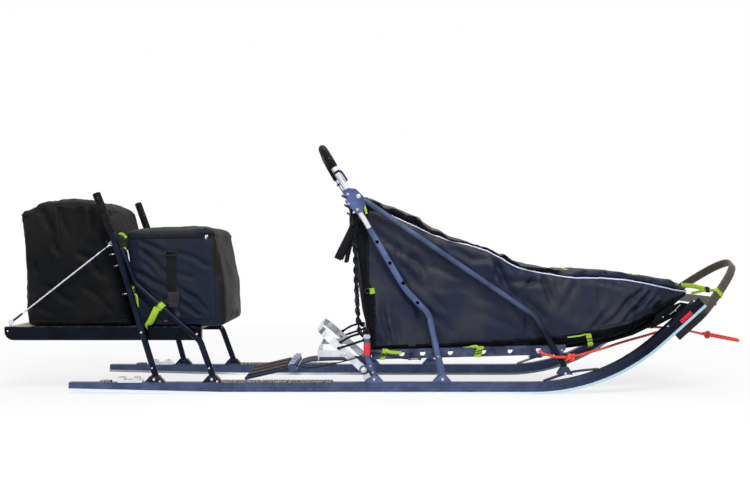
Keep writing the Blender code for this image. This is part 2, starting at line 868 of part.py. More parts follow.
def make_basket():
    inner = basket_half_width - basket_rail_width
    for side, sign in SIDES:
        corners = (
            (basket_rail_back, 0), (basket_rail_front - basket_front_cut, 0),
            (basket_rail_front, basket_rail_height / 2), (basket_rail_front, basket_rail_height),
            (basket_rail_back, basket_rail_height),
        )
        outline = [(station(s), basket_rail_low + basket_rise(s) + up) for s, up in corners]
        holes = []
        for row in basket_holes:
            hole = dict(zip(basket_hole_columns, row))
            middle = basket_rail_low + basket_rise(hole["station"]) + basket_rail_height / 2
            holes.append(circle(station(hole["station"]), middle, hole["radius"]))
        side_plate("basket_rail_" + side, [outline] + holes, sign * inner, sign * basket_half_width, BLUE_TUBE)
    bed_half = inner - touch_gap
    bed_z = basket_rail_low + bed_height_in_rail
    side_plate("basket_bed", [band(bed_path(), bed_thickness)], -bed_half, bed_half, BLACK_PLASTIC)
    bars = (("rear", rear_cross_bar_station), ("mid", mid_cross_bar_station), ("front", front_cross_bar_station))
    for name, place in bars:
        height = bed_z + basket_rise(place) - bed_thickness / 2 - 2 * touch_gap - cross_bar_radius
        rod("cross_bar_" + name, (station(place), -bed_half, height), (station(place), bed_half, height),
            cross_bar_radius, DARK_RAIL)


def bed_path():
    """Middle line of the bed sheet, from its rear end to its tip."""
    level = basket_rail_low + bed_height_in_rail
    path = [(station(s), level + basket_rise(s)) for s in (bed_back, basket_rail_front)]
    return path + [(station(s), z) for s, z in bed_nose_points]


def bed_top(x):
    """Height of the bed's upper face, carried on straight past its tip."""
    path = bed_path()
    line = band(path, bed_thickness)[:len(path)]
    index = 1
    while index < len(line) - 1 and line[index][0] < x:
        index += 1
    (x0, z0), (x1, z1) = line[index - 1], line[index]
    return z0 + (z1 - z0) / (x1 - x0) * (x - x0)


def make_cargo_bag():
    """Loft of slanted sections, each a ring of seven points."""
    shape = bmesh.new()
    rings = []
    for row in bag_sections:
        part = dict(zip(bag_columns, row))
        low = bed_top(station(part["low_station"])) + touch_gap
        height = part["edge"] - low
        points = []
        half_low = basket_half_width - part["low_tuck"]
        half_edge = basket_half_width - part["edge_tuck"]
        for share, half in ((0, half_low), (0.5, half_edge), (1, half_edge)):
            s = part["low_station"] + (part["top_station"] - part["low_station"]) * share
            points.append(Vector((station(s), half, low + height * share)))
        ridge = Vector((station(part["top_station"]), 0, part["ridge"]))
        mirrored = [Vector((p.x, -p.y, p.z)) for p in points[::-1]]
        rings.append([shape.verts.new(p) for p in points + [ridge] + mirrored])
    for front, back in zip(rings[1:], rings):
        for index in range(len(front)):
            after = (index + 1) % len(front)
            shape.faces.new((back[index], back[after], front[after], front[index]))
    shape.faces.new(rings[0])
    shape.faces.new(rings[-1][::-1])
    bmesh.ops.recalc_face_normals(shape, faces=shape.faces)
    mesh = bpy.data.meshes.new("cargo_bag")
    shape.to_mesh(mesh)
    shape.free()
    add("cargo_bag", mesh, BLACK_FABRIC)


# Brush bow

bow_offset = bow_strip_width / 2 + touch_gap
bow_origin = Vector((
    station(nose_station) + (nose_radius + bow_offset) * math.sin(nose_angle), 0,
    nose_radius - (nose_radius + bow_offset) * math.cos(nose_angle),
))
bow_frame = Matrix.Translation(bow_origin) @ Matrix.Rotation(-nose_angle, 4, "Y")


def make_brush_bow():
    depth = bow_front - bow_straight_end
    path = [(bow_start, -half_track)]
    for step in range(-bow_steps, bow_steps + 1):
        share = step / bow_steps
        path.append((bow_front - depth * share ** 2, half_track * share))
    path.append((bow_start, half_track))
    add("brush_bow", outline_mesh([band(path, bow_thickness)], bow_strip_width, bow_frame), BOW_PLASTIC)
    cross_end = bow_cross_start + bow_cross_thickness
    reach = half_track * math.sqrt((bow_front - (bow_cross_start + cross_end) / 2) / depth)
    cross = [(bow_cross_start, -reach), (cross_end, -reach), (cross_end, reach), (bow_cross_start, reach)]
    strip = add("bow_cross_strip", outline_mesh([cross], bow_strip_width, bow_frame), BOW_PLASTIC)
    room = outline_mesh([band(path, bow_thickness + 2 * touch_gap)], bow_strip_width + 2 * overrun, bow_frame)
    combine(strip, add("bow_room", room, home=cutters), "DIFFERENCE")


# Brake and drag mat

def make_pivot():
    x = station(pivot_station)
    head = pivot_head_thickness
    shaft = rod("brake_shaft", (x, -plate_outer - head, pivot_height), (x, plate_outer + head, pivot_height),
                pivot_radius, SILVER)
    for side, sign in SIDES:
        start = sign * (plate_outer + touch_gap)
        washer = rod("washer", (x, start, pivot_height), (x, start + sign * head, pivot_height),
                     pivot_head_radius, home=cutters)
        combine(shaft, washer, "UNION")
        nose = station(rear_upright_foot_station + pivot_plate_nose)
        outline = [(x, pivot_height + pivot_plate_radius), (nose, pivot_height + pivot_plate_radius),
                   (nose, pivot_height - pivot_plate_radius), (x, pivot_height - pivot_plate_radius)]
        for step in range(1, 8):
            turn = -math.pi / 2 - math.pi * step / 8
            outline.append((x + pivot_plate_radius * math.cos(turn),
                            pivot_height + pivot_plate_radius * math.sin(turn)))
        hole = circle(x, pivot_height, pivot_radius + touch_gap, tube_sides)
        plate = side_plate("pivot_plate_" + side, [outline, hole], sign * plate_inner, sign * plate_outer, BLUE_TUBE)
        lean = (rear_upright_foot_station - rear_upright_top_station) / (rear_upright_bend_height - foot_top)
        boss_x = station(rear_upright_foot_station - lean * (pivot_height - foot_top))
        boss_end = half_track - rear_upright_radius - touch_gap
        boss = rod("pivot_boss", (boss_x, sign * (plate_inner + plate_outer) / 2, pivot_height),
                   (boss_x, sign * boss_end, pivot_height), pivot_boss_radius, home=cutters)
        combine(plate, boss, "UNION")


def make_brake():
    place = Matrix.Translation((station(pivot_station), 0, pivot_height))
    frame = place @ Matrix.Rotation(math.pi + brake_angle, 4, "Y")
    half = brake_half_width - brake_bar_thickness / 2
    corners = [(-brake_arm_stub, -half, 0), (brake_arm_length, -half, 0), (brake_arm_length, half, 0),
               (-brake_arm_stub, half, 0)]
    path = [(p.x, p.y) for p in bent(corners, [brake_corner_radius, brake_corner_radius])]
    bow = add("brake_bow", outline_mesh([band(path, brake_bar_thickness)], brake_bar_width, frame), SILVER)
    x = station(pivot_station)
    bore = rod("brake_bore", (x, -plate_outer, pivot_height), (x, plate_outer, pivot_height),
               pivot_radius + slide_gap, home=cutters)
    combine(bow, bore, "DIFFERENCE")
    hang(bow, brake_pivot)
    half = brake_half_width - brake_bar_thickness - touch_gap - claw_bar_thickness / 2
    corners = [(station(claw_front), -half, 0), (station(claw_back), -half, 0), (station(claw_back), half, 0),
               (station(claw_front), half, 0)]
    path = [(p.x, p.y) for p in bent(corners, [claw_corner_radius, claw_corner_radius])]
    level = Matrix.Translation((0, 0, claw_height))
    claw = add("brake_claw", outline_mesh([band(path, claw_bar_thickness)], claw_bar_width, level), SILVER)
    back = station(claw_back) - claw_bar_thickness / 2
    low = claw_height - claw_bar_width / 2
    root = low + tooth_root
    pitch = (2 * half - 2 * claw_corner_radius) / tooth_count
    teeth = []
    for index in range(tooth_count):
        centre = -half + claw_corner_radius + pitch * (index + 0.5)
        teeth += [(centre - tooth_width / 2, root), (centre, low - tooth_depth), (centre + tooth_width / 2, root)]
    end = half - claw_corner_radius
    outline = [(-end, claw_height), (-end, root)] + teeth + [(end, root), (end, claw_height)]
    upright = Matrix.Translation((back + claw_bar_thickness / 2, 0, 0)) @ Matrix(
        ((0, 0, 1, 0), (1, 0, 0, 0), (0, 1, 0, 0), (0, 0, 0, 1)))
    comb = add("tooth_comb", outline_mesh([outline], tooth_thickness, upright), home=cutters)
    combine(claw, comb, "UNION")
    hang(claw, brake_pivot)


def make_drag_mat():
    x = station(pivot_station)
    eye_outer = pivot_radius + slide_gap + tongue_eye_wall
    front = station(mat_hinge_station) - tongue_thickness
    path = [(x, pivot_height + eye_outer - tongue_thickness / 2)] + [(station(s), z) for s, z in tongue_points]
    path.append((front + 2 * touch_gap, mat_hinge_height))
    tongue = side_plate("mat_tongue", [band(path, tongue_thickness)], -tongue_half_width, tongue_half_width,
                        MAT_RUBBER)
    eye = rod("tongue_eye", (x, -tongue_half_width, pivot_height), (x, tongue_half_width, pivot_height), eye_outer,
              home=cutters)
    combine(tongue, eye, "UNION")
    bore = rod("tongue_bore", (x, -tongue_half_width - overrun, pivot_height),
               (x, tongue_half_width + overrun, pivot_height), pivot_radius + slide_gap, home=cutters)
    combine(tongue, bore, "DIFFERENCE")
    back = station(mat_back)
    slope = (mat_hinge_height - mat_back_height) / (front - back)
    angle = math.atan(slope)
    frame = Matrix.Translation((front, 0, mat_hinge_height)) @ Matrix.Rotation(-angle, 4, "Y")
    length = (front - back) / math.cos(angle)
    half_sheet = mat_thickness / 2
    sheet = box("drag_mat", (-length, -mat_half_width, -half_sheet), (0, mat_half_width, half_sheet), MAT_RUBBER)
    sheet.matrix_world = frame
    for place in mat_rib_places:
        rib = box("mat_rib", (-length + overrun, place - mat_rib_width / 2 + overrun / 2, 0),
                  (-mat_clamp_length - overrun, place + mat_rib_width / 2 - overrun / 2, half_sheet + mat_rib_height),
                  home=cutters)
        rib.matrix_world = frame
        combine(sheet, rib, "UNION")
    slot = half_sheet + touch_gap
    clamp = box("mat_clamp", (-mat_clamp_length, -mat_clamp_half_width, -slot - mat_clamp_lower_height),
                (0, mat_clamp_half_width, slot + mat_clamp_upper_height), BLUE_TUBE)
    clamp.matrix_world = frame
    opening = mat_half_width + touch_gap
    tool = box("clamp_slot", (-mat_clamp_length - overrun, -opening, -slot), (overrun, opening, slot), home=cutters)
    tool.matrix_world = frame
    combine(clamp, tool, "DIFFERENCE")
    for piece in (sheet, clamp):
        hang(piece, mat_hinge)


# Bridle

def make_bridle():
    knot_x = station(bridle_knot_station)
    loop = rod("bridle", (knot_x - bridle_knot_radius, 0, bridle_knot_height),
               (knot_x + bridle_knot_radius, 0, bridle_knot_height), bridle_knot_radius, RED_ROPE, sides=12)
    hole = basket_holes[-1][0]
    hole_height = basket_rail_low + basket_rise(hole) + basket_rail_height / 2
    past_rail = basket_half_width + rope_radius + bridle_past_strut
    past_strut = half_track + strut_radius + rope_radius + bridle_past_strut
    out = strut_foot_station - bridle_out_reach
    passing = strut_foot_station - bridle_pass_front
    for side, sign in SIDES:
        path = [(station(hole), sign * (basket_half_width - basket_rail_width), hole_height),
                (station(hole), sign * past_rail, hole_height),
                (station(out), sign * (past_rail + past_strut) / 2, (hole_height + bridle_strut_height) / 2),
                (station(strut_foot_station - bridle_pass_back), sign * past_strut, bridle_strut_height),
                (station(passing), sign * past_strut, bridle_strut_height)]
        for row in bridle_rows:
            place = dict(zip(bridle_columns, row))
            share = (bridle_knot_station - place["station"]) / (bridle_knot_station - passing)
            path.append((station(place["station"]), sign * past_strut * share, place["height"]))
        path.append((knot_x, sign * rope_radius, bridle_knot_height))
        combine(loop, tube("bridle_leg", path, rope_radius, home=cutters, sides=8), "UNION")
    end = station(overall_length) - rope_radius
    corners = [(knot_x, -bridle_loop_half_width, bridle_knot_height), (end, -bridle_loop_half_width, bridle_loop_height),
               (end, bridle_loop_half_width, bridle_loop_height), (knot_x, bridle_loop_half_width, bridle_knot_height)]
    loop_path = bent(corners, [bridle_loop_half_width * 0.9] * 2, 4)
    combine(loop, tube("loop_rope", loop_path, rope_radius, home=cutters, sides=8), "UNION")


for side_name, side_sign in SIDES:
    make_runner(side_name, side_sign)
    make_tail_fittings(side_name, side_sign)
    make_rear_legs(side_name, side_sign)
    make_stay(side_name, side_sign)
    make_mid_upright(side_name, side_sign)
    make_gusset(side_name, side_sign)
    make_strut(side_name, side_sign)
    make_rear_upright(side_name, side_sign)
make_platform()
make_rear_bags()
make_handlebar()
make_basket()
make_cargo_bag()
make_brush_bow()
make_pivot()
make_brake()
make_drag_mat()
make_bridle()

for piece in parts.objects:
    if piece.type == "MESH":
        piece.data.shade_smooth()
        piece.data.set_sharp_from_angle(angle=math.radians(35))
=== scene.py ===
import json
import math

import bmesh
import bpy
from mathutils import Matrix, Vector, noise
from mathutils.bvhtree import BVHTree

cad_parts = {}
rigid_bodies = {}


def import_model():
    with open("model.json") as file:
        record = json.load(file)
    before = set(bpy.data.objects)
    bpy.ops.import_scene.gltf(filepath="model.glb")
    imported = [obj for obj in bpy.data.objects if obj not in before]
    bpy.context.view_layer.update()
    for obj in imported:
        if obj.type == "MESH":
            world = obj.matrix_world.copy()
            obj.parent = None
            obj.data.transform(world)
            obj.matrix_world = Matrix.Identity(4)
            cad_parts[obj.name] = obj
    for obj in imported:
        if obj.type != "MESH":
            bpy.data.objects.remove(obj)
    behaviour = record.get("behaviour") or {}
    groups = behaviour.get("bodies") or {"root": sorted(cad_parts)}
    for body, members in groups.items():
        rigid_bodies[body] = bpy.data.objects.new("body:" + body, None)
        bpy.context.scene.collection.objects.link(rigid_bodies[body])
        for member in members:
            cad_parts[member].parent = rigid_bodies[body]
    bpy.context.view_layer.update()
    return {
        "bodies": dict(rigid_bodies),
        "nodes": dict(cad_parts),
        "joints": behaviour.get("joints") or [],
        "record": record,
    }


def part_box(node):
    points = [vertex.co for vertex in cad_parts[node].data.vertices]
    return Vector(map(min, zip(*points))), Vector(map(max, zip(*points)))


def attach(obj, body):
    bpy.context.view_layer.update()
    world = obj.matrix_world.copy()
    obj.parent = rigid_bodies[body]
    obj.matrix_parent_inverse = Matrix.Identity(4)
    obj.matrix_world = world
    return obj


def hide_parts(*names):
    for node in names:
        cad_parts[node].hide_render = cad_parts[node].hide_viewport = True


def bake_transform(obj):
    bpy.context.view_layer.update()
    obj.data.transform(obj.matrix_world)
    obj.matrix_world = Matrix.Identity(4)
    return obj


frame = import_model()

# Dog sled: smooth tubes, fabric bags, rope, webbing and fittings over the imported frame.
# Stations are distances ahead of the rear end of the seat platform, in metres.

scene = bpy.context.scene
LENGTH = 3.074
HALF = 0.25
RAIL_TOP = 0.047
FOOT_TOP = 0.0733
SIDES = (("near", -1), ("far", 1))
LEG_RADIUS = 0.0125
OUTER_RADIUS = 0.0142
TUBE_SIDES = 28
STRAP = 0.0018
KNEE_HEIGHT, POST_HEIGHT = 0.631, 0.795
POST_LEAN = math.tan(math.radians(16.1))
KNEE_STATION = 0.61 - (KNEE_HEIGHT - FOOT_TOP) * POST_LEAN
X_WAY, Y_WAY, Z_WAY = Vector((1, 0, 0)), Vector((0, 1, 0)), Vector((0, 0, 1))
UPRIGHT = Matrix.Rotation(math.pi / 2, 4, "X")
BOW_LIFT = math.radians(42)
BOW_ALONG = Vector((math.cos(BOW_LIFT), 0, math.sin(BOW_LIFT)))
BOW_ACROSS = Vector((-math.sin(BOW_LIFT), 0, math.cos(BOW_LIFT)))


def at(station, y, z):
    return Vector((station - LENGTH / 2, y, z))


# Camera at the photograph's place, seen square from the side

camera_data = bpy.data.cameras.new("photo camera")
camera_data.sensor_width = 36
camera_data.lens = 36.24
camera_data.shift_x = 0.0219
camera_data.shift_y = 0.008
camera_data.clip_end = 60
camera = bpy.data.objects.new("photo camera", camera_data)
scene.collection.objects.link(camera)
camera.location = (-0.1125, -3.27, 0.551)
camera.rotation_euler = (math.pi / 2, 0, 0)
scene.camera = camera
scene.view_settings.view_transform = "Standard"


# Node helpers

def put(tree, kind, inputs=None, **settings):
    """Add a node, set it, and join or fill its inputs."""
    node = tree.nodes.new(kind)
    for name, value in settings.items():
        setattr(node, name, value)
    for name, value in (inputs or {}).items():
        if isinstance(value, bpy.types.NodeSocket):
            tree.links.new(value, node.inputs[name])
        else:
            node.inputs[name].default_value = value
    return node


def calc(tree, operation, first, second=0.0, clamp=False):
    return put(tree, "ShaderNodeMath", {0: first, 1: second}, operation=operation, use_clamp=clamp).outputs[0]


def cloud(tree, place, scale, detail):
    """Value of a noise texture."""
    return put(tree, "ShaderNodeTexNoise", {"Vector": place, "Scale": scale, "Detail": detail}).outputs["Fac"]


def stretched_place(tree, place, factors):
    return put(tree, "ShaderNodeVectorMath", {0: place, 1: factors}, operation="MULTIPLY").outputs[0]


def spread(tree, value, low, high, to_low=0.0, to_high=1.0):
    """A value's range stretched to another range, and held inside it."""
    node = put(tree, "ShaderNodeMapRange", {"Value": value, "From Min": low, "From Max": high,
                                            "To Min": to_low, "To Max": to_high})
    return node.outputs["Result"]


def shade_group(name, inputs, outputs):
    """An empty shader group with its sockets. Returns the tree, its inputs and its output node."""
    tree = bpy.data.node_groups.new(name, "ShaderNodeTree")
    for label, kind, value in inputs:
        socket = tree.interface.new_socket(label, in_out="INPUT", socket_type=kind)
        if value is not None:
            socket.default_value = value
    for label, kind in outputs:
        tree.interface.new_socket(label, in_out="OUTPUT", socket_type=kind)
    return tree, tree.nodes.new("NodeGroupInput").outputs, tree.nodes.new("NodeGroupOutput").inputs


FLOAT, VECTOR, COLOUR = "NodeSocketFloat", "NodeSocketVector", "NodeSocketColor"


def make_worn_edges():
    """Mask of the edges that rub bare, broken up by patches."""
    tree, given, result = shade_group("worn edges", [("Place", VECTOR, None), ("Reach", FLOAT, 0.002),
                                                     ("Patch Size", FLOAT, 30.0)], [("Mask", FLOAT)])
    rounded = put(tree, "ShaderNodeBevel", {"Radius": given["Reach"]}, samples=4)
    face = put(tree, "ShaderNodeNewGeometry")
    turn = put(tree, "ShaderNodeVectorMath", {0: rounded.outputs[0], 1: face.outputs["Normal"]},
               operation="DOT_PRODUCT").outputs["Value"]
    edge = spread(tree, turn, 0.995, 0.8)
    patch = put(tree, "ShaderNodeTexNoise", {"Vector": given["Place"], "Scale": given["Patch Size"], "Detail": 3.0})
    broken = spread(tree, patch.outputs["Fac"], 0.42, 0.62)
    tree.links.new(calc(tree, "MULTIPLY", edge, broken), result["Mask"])
    return tree


def make_metal_grain():
    """Fine drawn lines along the metal with soft blotches over them."""
    tree, given, result = shade_group("metal grain", [("Place", VECTOR, None), ("Fineness", FLOAT, 900.0),
                                                      ("Blotch Size", FLOAT, 14.0)],
                                      [("Height", FLOAT), ("Blotch", FLOAT)])
    stretched = put(tree, "ShaderNodeVectorMath", {0: given["Place"], 1: (0.05, 1.0, 1.0)}, operation="MULTIPLY")
    lines = put(tree, "ShaderNodeTexNoise", {"Vector": stretched.outputs[0], "Scale": given["Fineness"], "Detail": 2.0})
    blotch = put(tree, "ShaderNodeTexNoise", {"Vector": given["Place"], "Scale": given["Blotch Size"], "Detail": 5.0,
                                              "Roughness": 0.6})
    tree.links.new(lines.outputs["Fac"], result["Height"])
    tree.links.new(blotch.outputs["Fac"], result["Blotch"])
    return tree


def make_cloth_weave():
    """Plain weave on a surface map in metres, with uneven threads and large faded patches."""
    tree, given, result = shade_group("cloth weave", [("Surface", VECTOR, None), ("Place", VECTOR, None),
                                                      ("Thread", FLOAT, 0.0011)],
                                      [("Height", FLOAT), ("Thread Shade", FLOAT), ("Patches", FLOAT)])
    pitch = calc(tree, "DIVIDE", math.pi, given["Thread"])
    across = put(tree, "ShaderNodeVectorMath", {0: given["Surface"]}, operation="SCALE")
    tree.links.new(pitch, across.inputs["Scale"])
    parts = put(tree, "ShaderNodeSeparateXYZ", {0: across.outputs[0]})
    warp = calc(tree, "SINE", parts.outputs[0])
    weft = calc(tree, "SINE", parts.outputs[1])
    cross = calc(tree, "MULTIPLY", warp, weft)
    height = calc(tree, "MULTIPLY_ADD", cross, 0.5)
    height.node.inputs[2].default_value = 0.5
    slub = put(tree, "ShaderNodeTexNoise", {"Vector": given["Place"], "Scale": 420.0, "Detail": 1.0})
    patches = put(tree, "ShaderNodeTexNoise", {"Vector": given["Place"], "Scale": 5.0, "Detail": 4.0,
                                               "Roughness": 0.55})
    tree.links.new(height, result["Height"])
    tree.links.new(slub.outputs["Fac"], result["Thread Shade"])
    tree.links.new(patches.outputs["Fac"], result["Patches"])
    return tree


def make_granules():
    """Coarse grit, as on a moulded rubber tread."""
    tree, given, result = shade_group("granules", [("Place", VECTOR, None), ("Grit Size", FLOAT, 0.003)],
                                      [("Height", FLOAT), ("Grain", FLOAT)])
    scale = calc(tree, "DIVIDE", 1.0, given["Grit Size"])
    cells = put(tree, "ShaderNodeTexVoronoi", {"Vector": given["Place"], "Scale": scale})
    height = calc(tree, "SUBTRACT", 1.0, cells.outputs["Distance"])
    grey = put(tree, "ShaderNodeRGBToBW", {0: cells.outputs["Color"]})
    tree.links.new(height, result["Height"])
    tree.links.new(grey.outputs[0], result["Grain"])
    return tree


def make_dust():
    """Mask of dried snow marks and handling smears."""
    tree, given, result = shade_group("dried marks", [("Place", VECTOR, None), ("Size", FLOAT, 22.0),
                                                      ("Cover", FLOAT, 0.5)], [("Mask", FLOAT)])
    clouds = put(tree, "ShaderNodeTexNoise", {"Vector": given["Place"], "Scale": given["Size"], "Detail": 6.0,
                                              "Roughness": 0.7})
    edge = calc(tree, "SUBTRACT", 1.0, given["Cover"])
    above = calc(tree, "SUBTRACT", clouds.outputs["Fac"], edge)
    tree.links.new(calc(tree, "MULTIPLY", above, 4.0, clamp=True), result["Mask"])
    return tree


WORN_EDGES = make_worn_edges()
METAL_GRAIN = make_metal_grain()
CLOTH_WEAVE = make_cloth_weave()
GRANULES = make_granules()
DRIED_MARKS = make_dust()


def fill_group(tree, group, inputs):
    return put(tree, "ShaderNodeGroup", inputs, node_tree=group).outputs


def linear(text):
    """Scene colour of a hex triple."""
    values = [int(text[i:i + 2], 16) / 255 for i in (0, 2, 4)]
    return tuple(v / 12.92 if v <= 0.04045 else ((v + 0.055) / 1.055) ** 2.4 for v in values) + (1.0,)


def blend_colour(tree, share, first, second):
    return put(tree, "ShaderNodeMix", {0: share, 6: first, 7: second}, data_type="RGBA").outputs[2]


def finish_material(name, roughness=0.5, metallic=0.0, sheen=0.0, coat=0.0, specular=0.5):
    """A material with its shader. Returns material, tree, shader and the object's own place vector."""
    material = bpy.data.materials.new(name)
    material.use_nodes = True
    tree = material.node_tree
    shader = tree.nodes["Principled BSDF"]
    for label, value in (("Roughness", roughness), ("Metallic", metallic), ("Sheen Weight", sheen),
                         ("Coat Weight", coat), ("Specular IOR Level", specular)):
        shader.inputs[label].default_value = value
    return material, tree, shader, put(tree, "ShaderNodeTexCoord").outputs["Object"]


def weave_on(tree, place, thread):
    """The woven group laid on the surface map."""
    surface = put(tree, "ShaderNodeUVMap", uv_map="surface").outputs[0]
    return fill_group(tree, CLOTH_WEAVE, {"Surface": surface, "Place": place, "Thread": thread})


def relief(tree, shader, height, depth, strength=1.0):
    bump = put(tree, "ShaderNodeBump", {"Height": height, "Distance": depth, "Strength": strength})
    tree.links.new(bump.outputs[0], shader.inputs["Normal"])
    return bump


def anodised(name, colour, bright, roughness=0.36, metallic=0.75, dust=0.12):
    """Coloured anodised aluminium, rubbed paler at its edges."""
    material, tree, shader, place = finish_material(name, roughness, metallic, specular=0.25)
    grain = fill_group(tree, METAL_GRAIN, {"Place": place})
    worn = fill_group(tree, WORN_EDGES, {"Place": place})["Mask"]
    marks = fill_group(tree, DRIED_MARKS, {"Place": place, "Size": 26.0, "Cover": 0.42})["Mask"]
    tone = blend_colour(tree, spread(tree, grain["Blotch"], 0.35, 0.7), linear(colour), linear(bright))
    worn_tone = blend_colour(tree, calc(tree, "MULTIPLY", worn, 0.55), tone, linear("c4c6d4"))
    dusty = blend_colour(tree, calc(tree, "MULTIPLY", marks, dust), worn_tone, linear("b9bcc6"))
    tree.links.new(dusty, shader.inputs["Base Color"])
    rough = spread(tree, grain["Blotch"], 0.3, 0.7, roughness - 0.07, roughness + 0.1)
    tree.links.new(rough, shader.inputs["Roughness"])
    relief(tree, shader, grain["Height"], 0.00006, 0.4)
    return material


def bare_metal(name, colour="c6c6cc", roughness=0.28):
    """Bare aluminium or steel with fine lines and dull patches."""
    material, tree, shader, place = finish_material(name, roughness, 1.0)
    grain = fill_group(tree, METAL_GRAIN, {"Place": place, "Blotch Size": 16.0})
    tone = blend_colour(tree, spread(tree, grain["Blotch"], 0.45, 0.75), linear(colour), linear("aeb0ba"))
    tree.links.new(tone, shader.inputs["Base Color"])
    tree.links.new(spread(tree, grain["Blotch"], 0.3, 0.7, roughness - 0.06, roughness + 0.14),
                   shader.inputs["Roughness"])
    relief(tree, shader, grain["Height"], 0.0001, 0.5)
    return material


def bag_cloth(name, colour, sheen_colour, fade_and_highlight, thread=0.0012, roughness=0.62, specular=0.1):
    """Coated pack cloth: a visible weave, brown patches where it has worn pale, and a dull sheen. Its higher,
    upward-facing parts take the same pale brown as a painted highlight.
    """
    material, tree, shader, place = finish_material(name, roughness, 0.0, specular=specular)
    weave = weave_on(tree, place, thread)
    dark = blend_colour(tree, weave["Height"], linear(colour), linear(sheen_colour))
    patches = calc(tree, "MULTIPLY", spread(tree, weave["Patches"], 0.45, 0.72), 0.55)
    # Painted highlight: cloth that is high on the sled and faces upwards is blended towards the pale brown fade colour,
    # broken up by the patch noise.
    height = put(tree, "ShaderNodeSeparateXYZ", {0: place}).outputs[2]
    upper = calc(tree, "MULTIPLY", spread(tree, height, 0.26, 0.6), spread(tree, weave["Patches"], 0.34, 0.58))
    facing = put(tree, "ShaderNodeSeparateXYZ", {0: put(tree, "ShaderNodeTexCoord").outputs["Normal"]}).outputs[2]
    raised = calc(tree, "MULTIPLY", spread(tree, facing, 0.02, 0.42), upper)
    # This pale brown serves both the real worn patches and the painted highlight.
    tone = blend_colour(tree, calc(tree, "MAXIMUM", patches, raised), dark, linear(fade_and_highlight))
    threads = spread(tree, weave["Thread Shade"], 0.3, 0.7, 0.0, 0.35)
    tree.links.new(blend_colour(tree, threads, tone, linear(sheen_colour)), shader.inputs["Base Color"])
    tree.links.new(spread(tree, weave["Patches"], 0.3, 0.7, roughness - 0.1, roughness + 0.12),
                   shader.inputs["Roughness"])
    relief(tree, shader, weave["Height"], 0.0004, 0.6)
    return material


def webbing(name, colour, dark, thread=0.0016):
    """Flat woven webbing with ribs across it."""
    material, tree, shader, place = finish_material(name, 0.75, 0.0, sheen=0.02, specular=0.15)
    weave = weave_on(tree, place, thread)
    tone = blend_colour(tree, weave["Height"], linear(dark), linear(colour))
    soiled = calc(tree, "MULTIPLY", spread(tree, weave["Patches"], 0.5, 0.75), 0.35)
    tree.links.new(blend_colour(tree, soiled, tone, linear(dark)), shader.inputs["Base Color"])
    relief(tree, shader, weave["Height"], 0.0006, 0.8)
    return material


def moulded(name, colour, scuffed, roughness=0.5, coat=0.0, scuff=0.35, fineness=260.0, specular=0.3):
    """Moulded or extruded plastic and rubber with scuffs and a fine surface."""
    material, tree, shader, place = finish_material(name, roughness, 0.0, coat=coat, specular=specular)
    fine = cloud(tree, place, fineness, 3.0)
    marks = fill_group(tree, DRIED_MARKS, {"Place": place, "Size": 34.0, "Cover": 0.5})["Mask"]
    worn = fill_group(tree, WORN_EDGES, {"Place": place, "Reach": 0.0015})["Mask"]
    shaded = calc(tree, "MULTIPLY", calc(tree, "MAXIMUM", marks, worn), scuff)
    tree.links.new(blend_colour(tree, shaded, linear(colour), linear(scuffed)), shader.inputs["Base Color"])
    tree.links.new(spread(tree, fine, 0.3, 0.7, roughness - 0.06, roughness + 0.1), shader.inputs["Roughness"])
    relief(tree, shader, fine, 0.0003, 0.6)
    return material


def darker_part(material, axis, start, end, colour, output="Object"):
    """The same finish turning to another colour between two places on an axis of the sled. Given the Normal output, it
    turns by the way the surface faces instead, which paints light by facing.
    """
    tree = material.node_tree
    shader = tree.nodes["Principled BSDF"]
    tone = shader.inputs["Base Color"].links[0].from_socket
    place = put(tree, "ShaderNodeSeparateXYZ", {0: put(tree, "ShaderNodeTexCoord").outputs[output]}).outputs[axis]
    share = spread(tree, place, start, end)
    tree.links.new(blend_colour(tree, share, tone, linear(colour)), shader.inputs["Base Color"])
    return material


def gritty(name, colour, pale, size, roughness=0.85, depth=0.0014):
    """Granular rubber tread whose top grains catch the light."""
    material, tree, shader, place = finish_material(name, roughness, 0.0)
    grit = fill_group(tree, GRANULES, {"Place": place, "Grit Size": size})
    tone = blend_colour(tree, spread(tree, grit["Grain"], 0.35, 0.95), linear(colour), linear(pale))
    tree.links.new(tone, shader.inputs["Base Color"])
    tree.links.new(spread(tree, grit["Grain"], 0.2, 0.9, roughness, roughness - 0.35), shader.inputs["Roughness"])
    relief(tree, shader, grit["Height"], depth)
    return material


def foam_skin(name):
    """Closed-cell foam with a glossy speckle."""
    material, tree, shader, place = finish_material(name, 0.7, 0.0, specular=0.12)
    cells = fill_group(tree, GRANULES, {"Place": place, "Grit Size": 0.0022})
    wide = cloud(tree, place, 60.0, 4.0)
    tone = blend_colour(tree, spread(tree, wide, 0.4, 0.7), linear("040405"), linear("0d0e10"))
    tree.links.new(blend_colour(tree, spread(tree, cells["Grain"], 0.88, 0.97, 0.0, 0.6), tone, linear("a9abb4")),
                   shader.inputs["Base Color"])
    tree.links.new(spread(tree, cells["Grain"], 0.3, 1.0, 0.75, 0.35), shader.inputs["Roughness"])
    relief(tree, shader, cells["Height"], 0.0005, 0.8)
    return material


def deck_wood(name):
    """Pale plywood with long grain."""
    material, tree, shader, place = finish_material(name, 0.6, 0.0)
    stretched = stretched_place(tree, place, (1.2, 16.0, 16.0))
    rings = put(tree, "ShaderNodeTexNoise", {"Vector": stretched, "Scale": 5.0, "Detail": 8.0, "Roughness": 0.65,
                                             "Distortion": 0.6}).outputs["Fac"]
    pores = cloud(tree, stretched, 40.0, 2.0)
    tone = blend_colour(tree, spread(tree, rings, 0.35, 0.65), linear("9a7f45"), linear("cdb887"))
    tree.links.new(blend_colour(tree, spread(tree, pores, 0.6, 0.75, 0.0, 0.5), tone, linear("6f5930")),
                   shader.inputs["Base Color"])
    relief(tree, shader, pores, 0.0004, 0.5)
    return material


